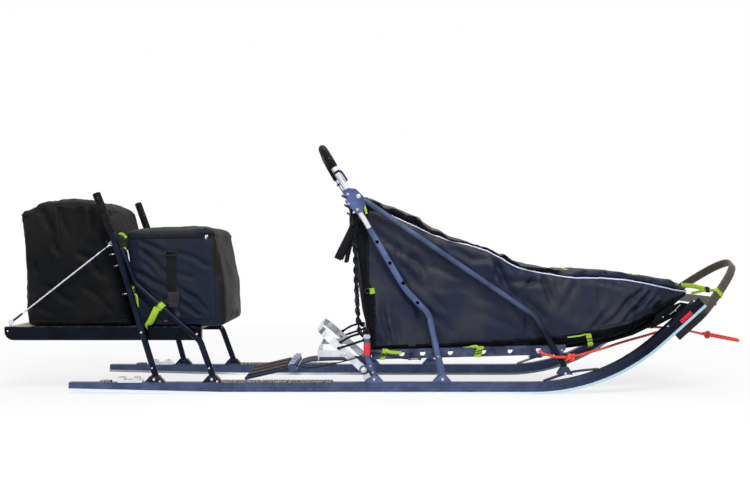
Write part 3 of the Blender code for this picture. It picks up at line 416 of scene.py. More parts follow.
def rope_fibre(name, colour, dark, fleck, thread=0.0012, sheen=0.25, specular=0.5):
    """Twisted rope or cord yarn on a map that follows the strand."""
    material, tree, shader, place = finish_material(name, 0.75, 0.0, sheen=sheen, specular=specular)
    weave = weave_on(tree, place, thread)
    tone = blend_colour(tree, weave["Height"], linear(dark), linear(colour))
    tree.links.new(blend_colour(tree, spread(tree, weave["Thread Shade"], 0.55, 0.8, 0.0, 0.4), tone, linear(fleck)),
                   shader.inputs["Base Color"])
    relief(tree, shader, weave["Height"], 0.0005, 0.8)
    return material


def runner_plastic(name):
    """Translucent pale runner base that turns from icy white to blue along its length."""
    material, tree, shader, place = finish_material(name, 0.38, 0.0)
    fine = cloud(tree, place, 4.0, 2.0)
    scratches = stretched_place(tree, place, (2.0, 60.0, 60.0))
    lines = cloud(tree, scratches, 9.0, 4.0)
    tone = blend_colour(tree, spread(tree, fine, 0.35, 0.65), linear("f2f7fa"), linear("e2eef6"))
    tree.links.new(blend_colour(tree, spread(tree, lines, 0.6, 0.75, 0.0, 0.5), tone, linear("f4f8fb")),
                   shader.inputs["Base Color"])
    relief(tree, shader, lines, 0.0004, 0.4)
    return material


RAIL_METAL = darker_part(anodised("dark anodised rail", "3f4b6a", "526086", 0.38), 0, 0.45, 1.05, "151b28")
TUBE_METAL = anodised("blue grey anodised tube", "4b5878", "6272a0", 0.38)
DARK_TUBE_METAL = anodised("dark anodised leg", "0f1421", "1d253a", 0.36, 0.75, 0.03)
PLATFORM_METAL = anodised("black anodised platform", "080b12", "121826", 0.42, 0.8, 0.02)
PLATE_METAL = anodised("anodised plate", "434f74", "5a6a98", 0.34)
BRACE_METAL = darker_part(anodised("grey blue anodised brace", "3c4760", "525f80", 0.4), 2, 0.36, 0.25, "1a202c")
BASKET_METAL = anodised("dark anodised basket rail", "232a3e", "56617f", 0.34)
SILVER_METAL = bare_metal("bare aluminium", "e4e6ee")
CHROME_METAL = bare_metal("polished steel", "dadae0", 0.16)
BAG_FABRIC = bag_cloth("black pack cloth", "10141f", "262f46", "4c4840", roughness=0.5, specular=0.14)
BAND_FABRIC = bag_cloth("black edge cloth", "040507", "0f1218", "0d0e11", 0.0018, specular=0.06)
SEAT_BAG_FABRIC = bag_cloth("black seat bag cloth", "060709", "101216", "2c2924", roughness=0.6, specular=0.06)
BOX_BAG_FABRIC = bag_cloth("slate box bag cloth", "0d131f", "1e283a", "2a2824", roughness=0.52, specular=0.08)
# Painted light on the front side: box bag cloth that faces forwards turns to a warmer, paler tone.
darker_part(BOX_BAG_FABRIC, 0, 0.35, 0.75, "211f1c", "Normal")
PIPING_CORD = rope_fibre("white piping", "fbfbff", "d8d8ea", "ffffff", 0.0012)
LIME_WEBBING = webbing("lime webbing", "b7dd3c", "7fa31f")
BLACK_WEBBING = webbing("black webbing", "14161b", "08090b")
TAG_CLOTH = webbing("brown tag", "9a5a40", "6a3826")
SLATE_WEBBING = webbing("slate webbing", "39414f", "1f242e")
PURPLE_EDGE = webbing("violet blue piping edge", "4a46a8", "2a2660", 0.0011)
SEAM_THREAD = rope_fibre("seam thread", "3b3f49", "17191e", "575b66", 0.0009)
RED_ROPE = rope_fibre("red rope", "ff4a34", "dc2a14", "ffa090")
BLACK_ROPE = rope_fibre("black rope", "12151e", "040507", "3a4460", sheen=0.02, specular=0.2)
STAY_SLEEVE = rope_fibre("pale sleeve", "f0f0f8", "b4b4d0", "ffffff")
BLACK_PLASTIC = moulded("black plastic", "121316", "3c3d44", 0.42)
BED_PLASTIC = moulded("black bed sheet", "07080b", "1a1b20", 0.6, specular=0.1)
BOW_PLASTIC = moulded("brown grey bow strip", "3f3932", "857c70", 0.45, 0.0, 0.5)
darker_part(BOW_PLASTIC, 2, 0.326, 0.318, "0b0d12")
MAT_RUBBER = moulded("mat rubber", "232a3a", "465068", 0.7, 0.0, 0.5, 420.0)
MAT_RIB = moulded("brown mat rib", "5a4632", "87705a", 0.8, 0.0, 0.5, 420.0)
TREAD_GRIT = gritty("granular tread", "3a332c", "b4aaa0", 0.0034)
FOAM_GRIP = foam_skin("grip foam")
DECK_WOOD = deck_wood("pale deck wood")
BASE_PLASTIC = darker_part(runner_plastic("runner base plastic"), 0, 0.4, 0.95, "a9c9da")
RED_TAPE = moulded("red tape", "d8222c", "f07a80", 0.3, 0.3, 0.3)
STICKER_RED = moulded("red bare patch", "d8141e", "e84a50", 0.5, 0.0, 0.2)
# Near-black, unreflecting finish of the hole discs: painted shade for the inside of the holes in the tubes.
HOLE_SHADE = moulded("painted hole shade", "030304", "08090b", 0.9, specular=0.0)


# Mesh helpers

class Shape:
    """A mesh in the making, with a surface map in metres."""

    def __init__(self):
        self.mesh = bmesh.new()
        self.surface = self.mesh.loops.layers.uv.new("surface")

    def grid(self, rows, wrap=True, capped=True, ring=False):
        """Quads between rows of points. A wrapped row closes on itself, and a ring joins its last row to its first."""
        verts = [[self.mesh.verts.new(p) for p in row] for row in rows]
        if ring:
            rows = rows + rows[:1]
            verts.append(verts[0])
            capped = False
        count = len(rows[0])
        along = [0.0]
        for before, after in zip(rows, rows[1:]):
            gap = sum((after[k] - before[k]).length for k in range(0, count, max(1, count // 4)))
            along.append(along[-1] + gap / len(range(0, count, max(1, count // 4))))
        middle = rows[len(rows) // 2]
        around = [0.0]
        for k in range(count if wrap else count - 1):
            around.append(around[-1] + (middle[(k + 1) % count] - middle[k]).length)
        for i in range(len(rows) - 1):
            for k in range(count if wrap else count - 1):
                after = (k + 1) % count
                face = self.mesh.faces.new((verts[i][k], verts[i][after], verts[i + 1][after], verts[i + 1][k]))
                corners = ((i, k), (i, k + 1), (i + 1, k + 1), (i + 1, k))
                for loop, (row, column) in zip(face.loops, corners):
                    loop[self.surface].uv = (along[row], around[column])
        if wrap and capped:
            self.mesh.faces.new(verts[0][::-1])
            self.mesh.faces.new(verts[-1])
        return verts

    def sweep(self, path, outline, up=None, capped=True):
        """An outline carried along a path, held upright or free of twist."""
        rows = []
        normal = None
        for index, place in enumerate(path):
            along = way_at(path, index)
            if up is not None:
                guide = up[index] if isinstance(up, list) else up
                side = along.cross(guide).normalized()
            else:
                if normal is None:
                    guide = Z_WAY if abs(along.z) < 0.9 else Y_WAY
                    side = along.cross(guide).normalized()
                else:
                    side = along.cross(normal).normalized()
            normal = side.cross(along).normalized()
            rows.append([place + side * u + normal * v for u, v in outline])
        return self.grid(rows, True, capped)

    def block(self, centre, size, turn=None, edge=0.001, segments=2):
        """A box with rounded edges, turned about its centre."""
        made = bmesh.ops.create_cube(self.mesh, size=1)["verts"]
        place = Matrix.Translation(centre) @ (turn or Matrix.Identity(3)).to_4x4() @ Matrix.Diagonal((*size, 1))
        bmesh.ops.transform(self.mesh, matrix=place, verts=made)
        edges = list({e for v in made for e in v.link_edges})
        bmesh.ops.bevel(self.mesh, geom=edges, offset=edge, segments=segments, affect="EDGES", profile=0.5)

    def plate(self, outline, thickness, frame, edge=0.0006):
        """A flat plate from its outline in the frame's own X and Y, with eased edges."""
        low = [self.mesh.verts.new(frame @ Vector((u, v, -thickness / 2))) for u, v in outline]
        high = [self.mesh.verts.new(frame @ Vector((u, v, thickness / 2))) for u, v in outline]
        count = len(outline)
        faces = [self.mesh.faces.new(low[::-1]), self.mesh.faces.new(high)]
        for k in range(count):
            after = (k + 1) % count
            faces.append(self.mesh.faces.new((low[k], low[after], high[after], high[k])))
        rim = [e for f in faces[:2] for e in f.edges]
        if edge:
            bmesh.ops.bevel(self.mesh, geom=rim, offset=edge, segments=2, affect="EDGES", profile=0.5)

    def done(self, name, angle=40):
        bmesh.ops.recalc_face_normals(self.mesh, faces=self.mesh.faces)
        mesh = bpy.data.meshes.new(name)
        self.mesh.to_mesh(mesh)
        self.mesh.free()
        mesh.shade_smooth()
        mesh.set_sharp_from_angle(angle=math.radians(angle))
        return mesh


def show(name, mesh, material=None, body="sled", stands_for=()):
    """Make a mesh a piece of the sled that rides on a body."""
    obj = bpy.data.objects.new(name, mesh)
    scene.collection.objects.link(obj)
    if material:
        mesh.materials.clear()
        mesh.materials.append(material)
    if body:
        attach(obj, body)
    if stands_for:
        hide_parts(*stands_for)
    return obj


def disc(radius, count=24):
    """Round cross-section."""
    turns = [2 * math.pi * k / count for k in range(count)]
    return [(radius * math.cos(turn), radius * math.sin(turn)) for turn in turns]


def flat_strap(width, thickness):
    """Cross-section of webbing: flat, with rounded edges."""
    a, b, c = width / 2, thickness / 2, min(width, thickness) * 0.25
    half = [(-a + c, -b), (0, -b), (a - c, -b), (a, -b + c), (a, b - c)]
    return half + [(-u, -v) for u, v in half]


def way_at(path, index):
    """Direction of a path at one of its places."""
    return (path[min(index + 1, len(path) - 1)] - path[max(index - 1, 0)]).normalized()


def bent(points, radii, steps=10):
    """A path through points whose inner corners are rounded by the given radii."""
    points = [Vector(point) for point in points]
    path = [points[0]]
    for index, radius in enumerate(radii, start=1):
        before = (points[index - 1] - points[index]).normalized()
        after = (points[index + 1] - points[index]).normalized()
        half_angle = before.angle(after) / 2
        reach = radius / math.tan(half_angle)
        centre = points[index] + (before + after).normalized() * radius / math.sin(half_angle)
        start = points[index] + before * reach - centre
        end = points[index] + after * reach - centre
        sweep = start.angle(end)
        for step in range(steps + 1):
            share = step / steps
            mix = (start * math.sin((1 - share) * sweep) + end * math.sin(share * sweep)) / math.sin(sweep)
            path.append(centre + mix)
    path.append(points[-1])
    return path


def through(a, b, c, d, t):
    """Value of a smooth curve through four values, between the middle two."""
    return 0.5 * (2 * b + (c - a) * t + (2 * a - 5 * b + 4 * c - d) * t * t + (3 * b - a - 3 * c + d) * t ** 3)


def smooth_path(points, step=0.006):
    """A smooth curve through the points, with evenly spaced places on it."""
    points = [Vector(p) for p in points]
    fine = []
    for i in range(len(points) - 1):
        p0 = points[max(i - 1, 0)]
        p1, p2 = points[i], points[i + 1]
        p3 = points[min(i + 2, len(points) - 1)]
        fine += [through(p0, p1, p2, p3, k / 24) for k in range(24)]
    fine.append(points[-1])
    return even_path(fine, step)


def even_path(path, step):
    """The same path with places an even step apart."""
    lengths = [0.0]
    for a, b in zip(path, path[1:]):
        lengths.append(lengths[-1] + (b - a).length)
    count = max(2, round(lengths[-1] / step))
    result = []
    j = 0
    for k in range(count + 1):
        want = lengths[-1] * k / count
        while j < len(path) - 2 and lengths[j + 1] < want:
            j += 1
        span = lengths[j + 1] - lengths[j]
        result.append(path[j].lerp(path[j + 1], (want - lengths[j]) / span if span else 0))
    return result


def lookup(value, table):
    """Straight-line value from rows of (place, value)."""
    if value <= table[0][0]:
        return table[0][1]
    for (a, fa), (b, fb) in zip(table, table[1:]):
        if value <= b:
            return fa + (fb - fa) * (value - a) / (b - a)
    return table[-1][1]


def on_side(sign, *rows):
    """Places from near-side rows of (station, distance out, height), set on either side."""
    return [at(station, sign * out, z) for station, out, z in rows]


def oval(centre, first, second, steps):
    """Places round an oval with these half axes, and the ways straight out from its centre."""
    turns = [2 * math.pi * step / steps for step in range(steps)]
    rays = [first * math.cos(turn) + second * math.sin(turn) for turn in turns]
    return [centre + ray for ray in rays], [ray.normalized() for ray in rays]


def hoop(shape, places, outs, across, outline):
    """An outline carried round a closed track, its X across the track and its Y outwards."""
    shape.grid([[place + across * u + out * v for u, v in outline] for place, out in zip(places, outs)], ring=True)


def tube_wrap(shape, centre, way, radius, width, thickness=STRAP):
    """A band of webbing drawn round a tube."""
    way = way.normalized()
    side = way.cross(Y_WAY).normalized()
    reach = radius + thickness / 2
    track = oval(centre, side * reach, side.cross(way).normalized() * reach, 24)
    hoop(shape, *track, way, flat_strap(width, thickness))


def strap_run(shape, sign, rows, width, facing, step=0.005, thickness=STRAP):
    """Webbing through near-side rows, set on either side and facing one way."""
    shape.sweep(smooth_path(on_side(sign, *rows), step), flat_strap(width, thickness), Vector(facing))


def blocks(shape, origin, sign, rows, turn=None):
    """Rounded blocks set round a place, by rows of shift, size and edge."""
    for (x, out, z), size, edge in rows:
        shape.block(origin + Vector((x, sign * out, z)), size, turn, edge)


# Growing trees: fittings set on points, and small parts repeated along a path

def grow_tree(name, along_path):
    """Geometry tree that sets a fitting on points, or repeats it along a path."""
    tree = bpy.data.node_groups.new(name, "GeometryNodeTree")
    for label, kind, value in (("Geometry", "Geometry", None), ("Fitting", "Object", None),
                               ("Finish", "Material", None), ("Size", "Float", 1.0), ("Spacing", "Float", 0.01),
                               ("Seed", "Int", 3)):
        socket = tree.interface.new_socket(label, in_out="INPUT", socket_type=f"NodeSocket{kind}")
        if value is not None:
            socket.default_value = value
    tree.interface.new_socket("Geometry", in_out="OUTPUT", socket_type="NodeSocketGeometry")
    given = tree.nodes.new("NodeGroupInput").outputs
    result = tree.nodes.new("NodeGroupOutput").inputs
    facing = put(tree, "GeometryNodeInputNamedAttribute", {"Name": "facing"}, data_type="FLOAT_VECTOR")
    source = put(tree, "GeometryNodeObjectInfo", {"Object": given["Fitting"]})
    points = given["Geometry"]
    turned = put(tree, "FunctionNodeAlignRotationToVector", {"Vector": facing.outputs[0]}, axis="Z").outputs[0]
    if along_path:
        curve = put(tree, "GeometryNodeMeshToCurve", {"Mesh": points}).outputs[0]
        points = put(tree, "GeometryNodeResampleCurve", {"Curve": curve, "Length": given["Spacing"]},
                     mode="LENGTH").outputs[0]
        tangent = put(tree, "GeometryNodeInputTangent").outputs[0]
        turned = put(tree, "FunctionNodeAlignRotationToVector", {"Rotation": turned, "Vector": tangent},
                     axis="X", pivot_axis="Z").outputs[0]
    else:
        spin = put(tree, "FunctionNodeRandomValue", {"Seed": given["Seed"]}, data_type="FLOAT")
        spin.inputs["Max"].default_value = 2 * math.pi
        twist = put(tree, "FunctionNodeAxisAngleToRotation", {"Axis": (0, 0, 1)})
        tree.links.new(spin.outputs[1], twist.inputs["Angle"])
        turned = put(tree, "FunctionNodeRotateRotation", {"Rotation": turned, "Rotate By": twist.outputs[0]},
                     rotation_space="LOCAL").outputs[0]
    own = put(tree, "GeometryNodeInputNamedAttribute", {"Name": "size"}, data_type="FLOAT")
    scale = calc(tree, "MULTIPLY", own.outputs[0], given["Size"])
    placed = put(tree, "GeometryNodeInstanceOnPoints", {"Points": points, "Instance": source.outputs["Geometry"],
                                                        "Rotation": turned, "Scale": scale})
    real = put(tree, "GeometryNodeRealizeInstances", {"Geometry": placed.outputs[0]})
    painted = put(tree, "GeometryNodeSetMaterial", {"Geometry": real.outputs[0], "Material": given["Finish"]})
    tree.links.new(painted.outputs[0], result["Geometry"])
    return tree


SET_FITTINGS = grow_tree("set fittings", False)
REPEAT_ALONG = grow_tree("repeat along path", True)


def grown(name, tree, places, facing, fitting, finish, sizes=None, spacing=0.01):
    """Plain mesh of a fitting set on points, or repeated along chains of points."""
    mesh = bpy.data.meshes.new(name)
    chains = places if places and isinstance(places[0], list) else None
    flat = [p for chain in chains for p in chain] if chains else places
    normals = [n for chain in facing for n in chain] if chains else facing
    edges = []
    start = 0
    for chain in chains or []:
        edges += [(start + k, start + k + 1) for k in range(len(chain) - 1)]
        start += len(chain)
    mesh.from_pydata([tuple(p) for p in flat], edges, [])
    attribute = mesh.attributes.new("facing", "FLOAT_VECTOR", "POINT")
    attribute.data.foreach_set("vector", [value for n in normals for value in n])
    attribute = mesh.attributes.new("size", "FLOAT", "POINT")
    attribute.data.foreach_set("value", sizes or [1.0] * len(flat))
    holder = bpy.data.objects.new(name, mesh)
    pattern = bpy.data.objects.new("pattern", fitting)
    for obj in (holder, pattern):
        scene.collection.objects.link(obj)
    modifier = holder.modifiers.new("grow", "NODES")
    values = {"Fitting": pattern, "Finish": finish, "Size": 1.0, "Spacing": spacing, "Seed": 3}
    modifier.node_group = tree
    for item in tree.interface.items_tree:
        if item.in_out == "INPUT" and item.name in values:
            modifier[item.identifier] = values[item.name]
    graph = bpy.context.evaluated_depsgraph_get()
    result = bpy.data.meshes.new_from_object(holder.evaluated_get(graph))
    result.name = name
    for obj in (holder, pattern):
        bpy.data.objects.remove(obj)
    bpy.data.meshes.remove(mesh)
    for label in ("facing", "size"):
        if label in result.attributes:
            result.attributes.remove(result.attributes[label])
    return result


# Patterns of the small fittings, standing on their own Z axis

def turned_rows(profile, count):
    """Rings round the Z axis from (radius, height) rows."""
    return [[Vector((u, v, z)) for u, v in disc(radius, count)] for radius, z in profile]


def turned_pattern(name, profile, count=16):
    """A turned shape from (radius, height) rows."""
    shape = Shape()
    shape.grid(turned_rows(profile, count))
    return shape.done(name, 35)


def hex_bolt():
    """Washer and chamfered hexagon head."""
    shape = Shape()
    shape.grid(turned_rows([(0.007, -0.001), (0.007, 0.001), (0.0066, 0.0014), (0.004, 0.0014)], 20))
    shape.grid(turned_rows([(0.0052, 0.0012), (0.0052, 0.0044), (0.0045, 0.005)], 6))
    return shape.done("hex_bolt", 30)


def cap_screw():
    """Round head with a deep socket."""
    profile = [(0.0046, -0.001), (0.005, 0.0), (0.005, 0.0032), (0.0044, 0.004), (0.0026, 0.004), (0.0024, 0.0016)]
    return turned_pattern("cap_screw", profile, 18)


def dome_rivet():
    profile = [(0.0046, -0.001), (0.0048, 0.0004), (0.0042, 0.0016), (0.0028, 0.0025), (0.0008, 0.0029)]
    return turned_pattern("dome_rivet", profile, 14)


def broad_washer():
    profile = [(0.009, -0.0005), (0.0092, 0.0012), (0.0082, 0.002), (0.005, 0.002), (0.0046, 0.0046),
               (0.0036, 0.0052), (0.0008, 0.0052)]
    return turned_pattern("broad_washer", profile, 24)


def shaded_hole():
    """A hole's raised lip round a disc; in its dark finish the disc is painted shade for the inside of the hole."""
    profile = [(0.0042, -0.0008), (0.0044, 0.0003), (0.004, 0.0007), (0.0034, 0.0006), (0.003, -0.0002)]
    return turned_pattern("shaded_hole", profile, 18)


def stitch():
    """One lockstitch, a short rounded thread along X."""
    shape = Shape()
    path = [Vector((x, 0, z)) for x, z in ((-0.0016, -0.0002), (-0.0012, 0.0004), (0, 0.0006), (0.0012, 0.0004),
                                           (0.0016, -0.0002))]
    shape.sweep(path, disc(0.00045, 6), Z_WAY)
    return shape.done("stitch", 60)


def zip_tooth():
    shape = Shape()
    shape.block(Vector((0, 0, 0.0006)), (0.0014, 0.005, 0.0016), None, 0.0003, 1)
    return shape.done("zip_tooth", 30)


HEX_BOLT, CAP_SCREW, DOME_RIVET = hex_bolt(), cap_screw(), dome_rivet()
BROAD_WASHER, SHADED_HOLE, STITCH, ZIP_TOOTH = broad_washer(), shaded_hole(), stitch(), zip_tooth()


def set_both_sides(name, fitting, rows, finish=CHROME_METAL, slot="silver", body="sled"):
    """Fittings given for the near side as (station, distance out, height, size), and mirrored."""
    for side, sign in SIDES:
        places = on_side(sign, *[row[:3] for row in rows])
        mesh = grown(f"{name}_{side}", SET_FITTINGS, places, [Y_WAY * sign] * len(rows), fitting, finish,
                     [row[3] for row in rows])
        show(f"{name}_{side}", mesh, None, body)


# Finishes of the frame's own parts

node_finishes = (
    ("runner_rail", RAIL_METAL), ("runner_base", BASE_PLASTIC), ("tail_clamp", SILVER_METAL), ("foot_pad", TREAD_GRIT),
    ("tail_pad", TREAD_GRIT), ("platform_side", PLATFORM_METAL), ("platform_bar", PLATFORM_METAL),
    ("platform_deck", DECK_WOOD), ("gusset", PLATE_METAL), ("basket_rail", BASKET_METAL), ("basket_bed", BED_PLASTIC),
    ("cross_bar", DARK_TUBE_METAL), ("front_leaf", RAIL_METAL), ("brush_bow", BOW_PLASTIC), ("bow_cross", BOW_PLASTIC),
    ("brake_shaft", CHROME_METAL), ("pivot_plate", PLATE_METAL), ("brake_bow", SILVER_METAL),
    ("brake_claw", SILVER_METAL), ("drag_mat", MAT_RUBBER), ("mat_clamp", PLATE_METAL),
    ("front_leg", DARK_TUBE_METAL), ("rear_leg", DARK_TUBE_METAL), ("mid_upright", TUBE_METAL),
    ("rear_upright", TUBE_METAL), ("front_strut", TUBE_METAL), ("handlebar_bow", SILVER_METAL),
    ("seat_stay", CHROME_METAL),
)
for node_name, node_object in frame["nodes"].items():
    for prefix, material in node_finishes:
        if node_name.startswith(prefix):
            for material_slot in node_object.material_slots:
                material_slot.material = material


# Round tubes of the frame, drawn smooth

def foot_block(shape, station, y):
    """Triangular cast foot on the rail, hollowed at its sides."""
    low = RAIL_TOP + 0.0003
    outline = [(-0.037, 0), (0.037, 0), (0.037, 0.003), (0.0165, 0.026), (-0.0165, 0.026), (-0.037, 0.003)]
    hollow = [(-0.024, 0.0035), (0.024, 0.0035), (0.0115, 0.02), (-0.0115, 0.02)]
    for points, shift, thickness, edge in ((outline, 0, 0.032, 0.0014), (hollow, -0.0162, 0.0016, 0.0006),
                                           (hollow, 0.0162, 0.0016, 0.0006)):
        shape.plate(points, thickness, Matrix.Translation(at(station, y + shift, low)) @ UPRIGHT, edge)


def rear_leg_y(height):
    """Distance out of a rear seat leg's axis, which leans outwards."""
    return 0.2435 + (height - FOOT_TOP) * math.tan(math.radians(3.13))


def post_ends(sign):
    """Knee and top of the post above a rear seat leg."""
    return on_side(sign, (KNEE_STATION, rear_leg_y(KNEE_HEIGHT), KNEE_HEIGHT),
                   (KNEE_STATION - 0.061, rear_leg_y(POST_HEIGHT), POST_HEIGHT))


def axis_point(reach, y=0.0, offset=0.0):
    """A point on the handlebar leg's axis, this far up it and this far ahead of it."""
    angle = math.radians(59.7)
    return at(1.549 - math.cos(angle) * reach + math.sin(angle) * offset, y,
              0.523 + math.sin(angle) * reach + math.cos(angle) * offset)


def hollow_top(shape, path, rings):
    """Closes a tube's foot and opens its top, with a bore running down it."""
    shape.mesh.faces.new(rings[0][::-1])
    top = rings[-1]
    rays = [(vert.co - path[-1]) * 0.905 for vert in top]
    down = way_at(path, len(path) - 1) * 0.24
    rim = [shape.mesh.verts.new(path[-1] + ray) for ray in rays]
    deep = [shape.mesh.verts.new(path[-1] + ray - down) for ray in rays]
    for k in range(len(rim)):
        after = (k + 1) % len(rim)
        shape.mesh.faces.new((top[k], top[after], rim[after], rim[k]))
        shape.mesh.faces.new((rim[k], rim[after], deep[after], deep[k]))
    shape.mesh.faces.new(deep)


def frame_tubes():
    """Legs, stanchions and braces as smooth bent tubes with their feet, and the handlebar's bow."""
    for side, sign in SIDES:
        y = sign * HALF
        box_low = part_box(f"front_strut_{side}")[0]
        for name, node, radius, radii, metal, foot, path in (
            ("straight_leg", "rear_leg", LEG_RADIUS, [0.3], DARK_TUBE_METAL, 0.61,
             on_side(sign, (0.61 + 0.008 * POST_LEAN, rear_leg_y(0.065), 0.065)) + post_ends(sign)),
            ("bent_leg", "front_leg", LEG_RADIUS, [0.06, 0.06], DARK_TUBE_METAL, 0.84,
             on_side(sign, (0.843, HALF, 0.065), (0.79, 0.2478, 0.212), (0.53, 0.2442, 0.44), (0.472, 0.242, 0.58))),
            ("stanchion", "mid_upright", OUTER_RADIUS, [0.07, 0.3], TUBE_METAL, 1.759,
             [at(1.761, y, 0.065), at(1.705, y, 0.318), axis_point(-0.12, y), axis_point(0.162, y)]),
            ("rear_stanchion", "rear_upright", LEG_RADIUS, [0.1], TUBE_METAL, 1.486,
             [at(1.4905, y, 0.06), at(1.458, y, 0.151), at(1.458, y, 0.235)]),
            ("brace", "front_strut", 0.0116, [0.07], BRACE_METAL, None,
             [at(2.248, y, box_low.z), at(2.128, y, 0.312), axis_point(0.2728, y, 0.0366)]),
        ):
            shape = Shape()
            path = bent(path, radii)
            rings = shape.sweep(path, disc(radius, TUBE_SIDES), None, name != "stanchion")
            if name == "stanchion":
                hollow_top(shape, path, rings)
            if foot:
                foot_block(shape, foot, y)
            show(f"{name}_{side}", shape.done(name.split("_")[-1]), metal, "sled", [f"{node}_{side}"])
    shape = Shape()
    shape.sweep(handle_path(-0.02), disc(LEG_RADIUS, TUBE_SIDES))
    show("handle_tube", shape.done("handle"), SILVER_METAL, "handlebar", ["handlebar_bow"])


def handle_path(low):
    """The handlebar's bow, from this far up one leg over to the same place on the other."""
    corners = ((low, -HALF), (0.541, -HALF), (0.541, HALF), (low, HALF))
    return bent([axis_point(reach, y) for reach, y in corners], [0.09, 0.09], 16)


def bow_point(reach, y):
    """A point this far up the tilted plane of the brush bow."""
    return at(2.6562, y, 0.1845) + BOW_ACROSS * 0.004 + BOW_ALONG * reach


def bow_reach(share):
    """How far up its plane the bow's arch lies, by the share of its half width."""
    return 0.5 - 0.302 * share ** 2


def brush_bow():
    """The bow's strip, bent smooth, narrower on its outer side and rounded at its ends."""
    end = [(0.06, -HALF), (0.062, -HALF), (0.12, -HALF), (0.18, -HALF)]
    arch = [(bow_reach(share), HALF * share) for share in [-0.96 + 0.06 * k for k in range(33)]]
    points = end + arch + [(reach, -y) for reach, y in end[::-1]]
    path = smooth_path([bow_point(reach, y) for reach, y in points], 0.006)
    shape = Shape()
    normals = [BOW_ACROSS.cross(way_at(path, k)).normalized() for k in range(len(path))]
    shape.sweep(path, flat_strap(0.034, 0.0115), normals)
    show("brush_bow_strip", shape.done("bow_strip", 40), BOW_PLASTIC, "sled", ["brush_bow"])


def hollow_grip(name, path, inner, outer, body, stands_for, round_end=False):
    """A foam sleeve on a tube, soft at its ends and faintly uneven."""
    shape = Shape()
    path = even_path(path, 0.006)
    rows = []
    normal = Z_WAY if abs((path[1] - path[0]).normalized().z) < 0.9 else Y_WAY
    for index, place in enumerate(path):
        along = way_at(path, index)
        side = along.cross(normal).normalized()
        normal = side.cross(along).normalized()
        end = min(index, len(path) - 1 - index) * 0.006
        soft = 1 - 0.35 * max(0.0, 1 - end / 0.006) ** 2 * (outer - inner) / outer
        row = []
        for k in range(24):
            turn = 2 * math.pi * k / 24
            ray = side * math.cos(turn) + normal * math.sin(turn)
            lump = 0.0005 * noise.noise((place + ray * outer) * 60)
            row.append(place + ray * (outer * soft + lump))
        rows.append(row)
    if round_end:
        tip = (path[-1] - path[-2]).normalized()
        last = rows[-1]
        for share, lift in ((0.85, 0.0012), (0.55, 0.0022), (0.2, 0.0027)):
            rows.append([path[-1] + (p - path[-1]) * share + tip * lift for p in last])
    shape.grid(rows)
    obj = show(name, shape.done(name, 60), FOAM_GRIP, body, stands_for)
    return obj


def grips():
    hollow_grip("handle_grip_foam", handle_path(0.4425), 0.0128, 0.0168, "handlebar", ["handlebar_grip"])
    for side, sign in SIDES:
        low, top = post_ends(sign)
        along = (top - low).normalized()
        hollow_grip(f"post_foam_{side}", [low + along * 0.0135, top + along * 0.004], 0.0128, 0.016, "sled",
                    [f"post_grip_{side}"], True)


frame_tubes()
grips()
brush_bow()


# Floor, backdrop and light

def floor_and_light():
    material, tree, shader, place = finish_material("pale studio floor", 0.95, 0.0, specular=0.1)
    shader.inputs["Base Color"].default_value = (0.9, 0.9, 0.91, 1)
    distance = put(tree, "ShaderNodeVectorMath", {0: place}, operation="LENGTH").outputs["Value"]
    far_away = spread(tree, distance, 1.4, 3.2, 0.8, 1.0)
    path = put(tree, "ShaderNodeLightPath").outputs
    seen = calc(tree, "MAXIMUM", path["Is Camera Ray"], path["Is Glossy Ray"])
    white = put(tree, "ShaderNodeEmission", {"Color": (1, 1, 1, 1), "Strength": 1.0})
    mixed = put(tree, "ShaderNodeMixShader", {0: calc(tree, "MULTIPLY", seen, far_away), 1: shader.outputs[0],
                                              2: white.outputs[0]})
    tree.links.new(mixed.outputs[0], tree.nodes["Material Output"].inputs["Surface"])
    mesh = bpy.data.meshes.new("studio_floor")
    mesh.from_pydata([(-14, -14, 0), (14, -14, 0), (14, 14, 0), (-14, 14, 0)], [], [(0, 1, 2, 3)])
    mesh.materials.append(material)
    floor = bpy.data.objects.new("studio_floor", mesh)
    scene.collection.objects.link(floor)
    world = bpy.data.worlds.new("pale room")
    scene.world = world
    world.use_nodes = True
    tree = world.node_tree
    tree.nodes.clear()
    path = put(tree, "ShaderNodeLightPath").outputs
    seen = calc(tree, "MAXIMUM", calc(tree, "MAXIMUM", path["Is Camera Ray"], path["Is Glossy Ray"]),
                path["Is Transmission Ray"])
    lit = put(tree, "ShaderNodeBackground", {"Color": (0.93, 0.96, 1.0, 1), "Strength": 0.4})
    plain = put(tree, "ShaderNodeBackground", {"Color": (1, 1, 1, 1), "Strength": 1.0})
    mixed = put(tree, "ShaderNodeMixShader", {0: seen, 1: lit.outputs[0], 2: plain.outputs[0]})
    out = put(tree, "ShaderNodeOutputWorld", {"Surface": mixed.outputs[0]})
    for name, place, target, size, power in (
        ("key lamp", (0.3, -2.9, 3.9), (0, 0, 0.3), 1.5, 150),
        ("fill lamp", (-3.2, -2.4, 1.6), (0, 0, 0.4), 2.2, 22),
        ("top lamp", (0.2, 0.9, 3.8), (0, 0, 0.4), 2.4, 45),
    ):
        data = bpy.data.lights.new(name, "AREA")
        data.energy = power
        data.size = size
        lamp = bpy.data.objects.new(name, data)
        scene.collection.objects.link(lamp)
        lamp.location = place
        lamp.rotation_euler = (Vector(target) - Vector(place)).to_track_quat("-Z", "Y").to_euler()


floor_and_light()


# Bags

def fold_height(place, run, lean, fineness, seed):
    """Soft ridges that run along a slanted direction on a hanging side."""
    along = place.x * math.cos(lean) - place.z * math.sin(lean)
    across = place.x * math.sin(lean) + place.z * math.cos(lean)
    bend = noise.noise(Vector((along * 3.1, across * 3.1, seed))) * 0.1
    wave = noise.noise(Vector((along * run, (across + bend) * fineness, seed + place.y * 1.3)))
    return 1 - 2.2 * abs(wave)


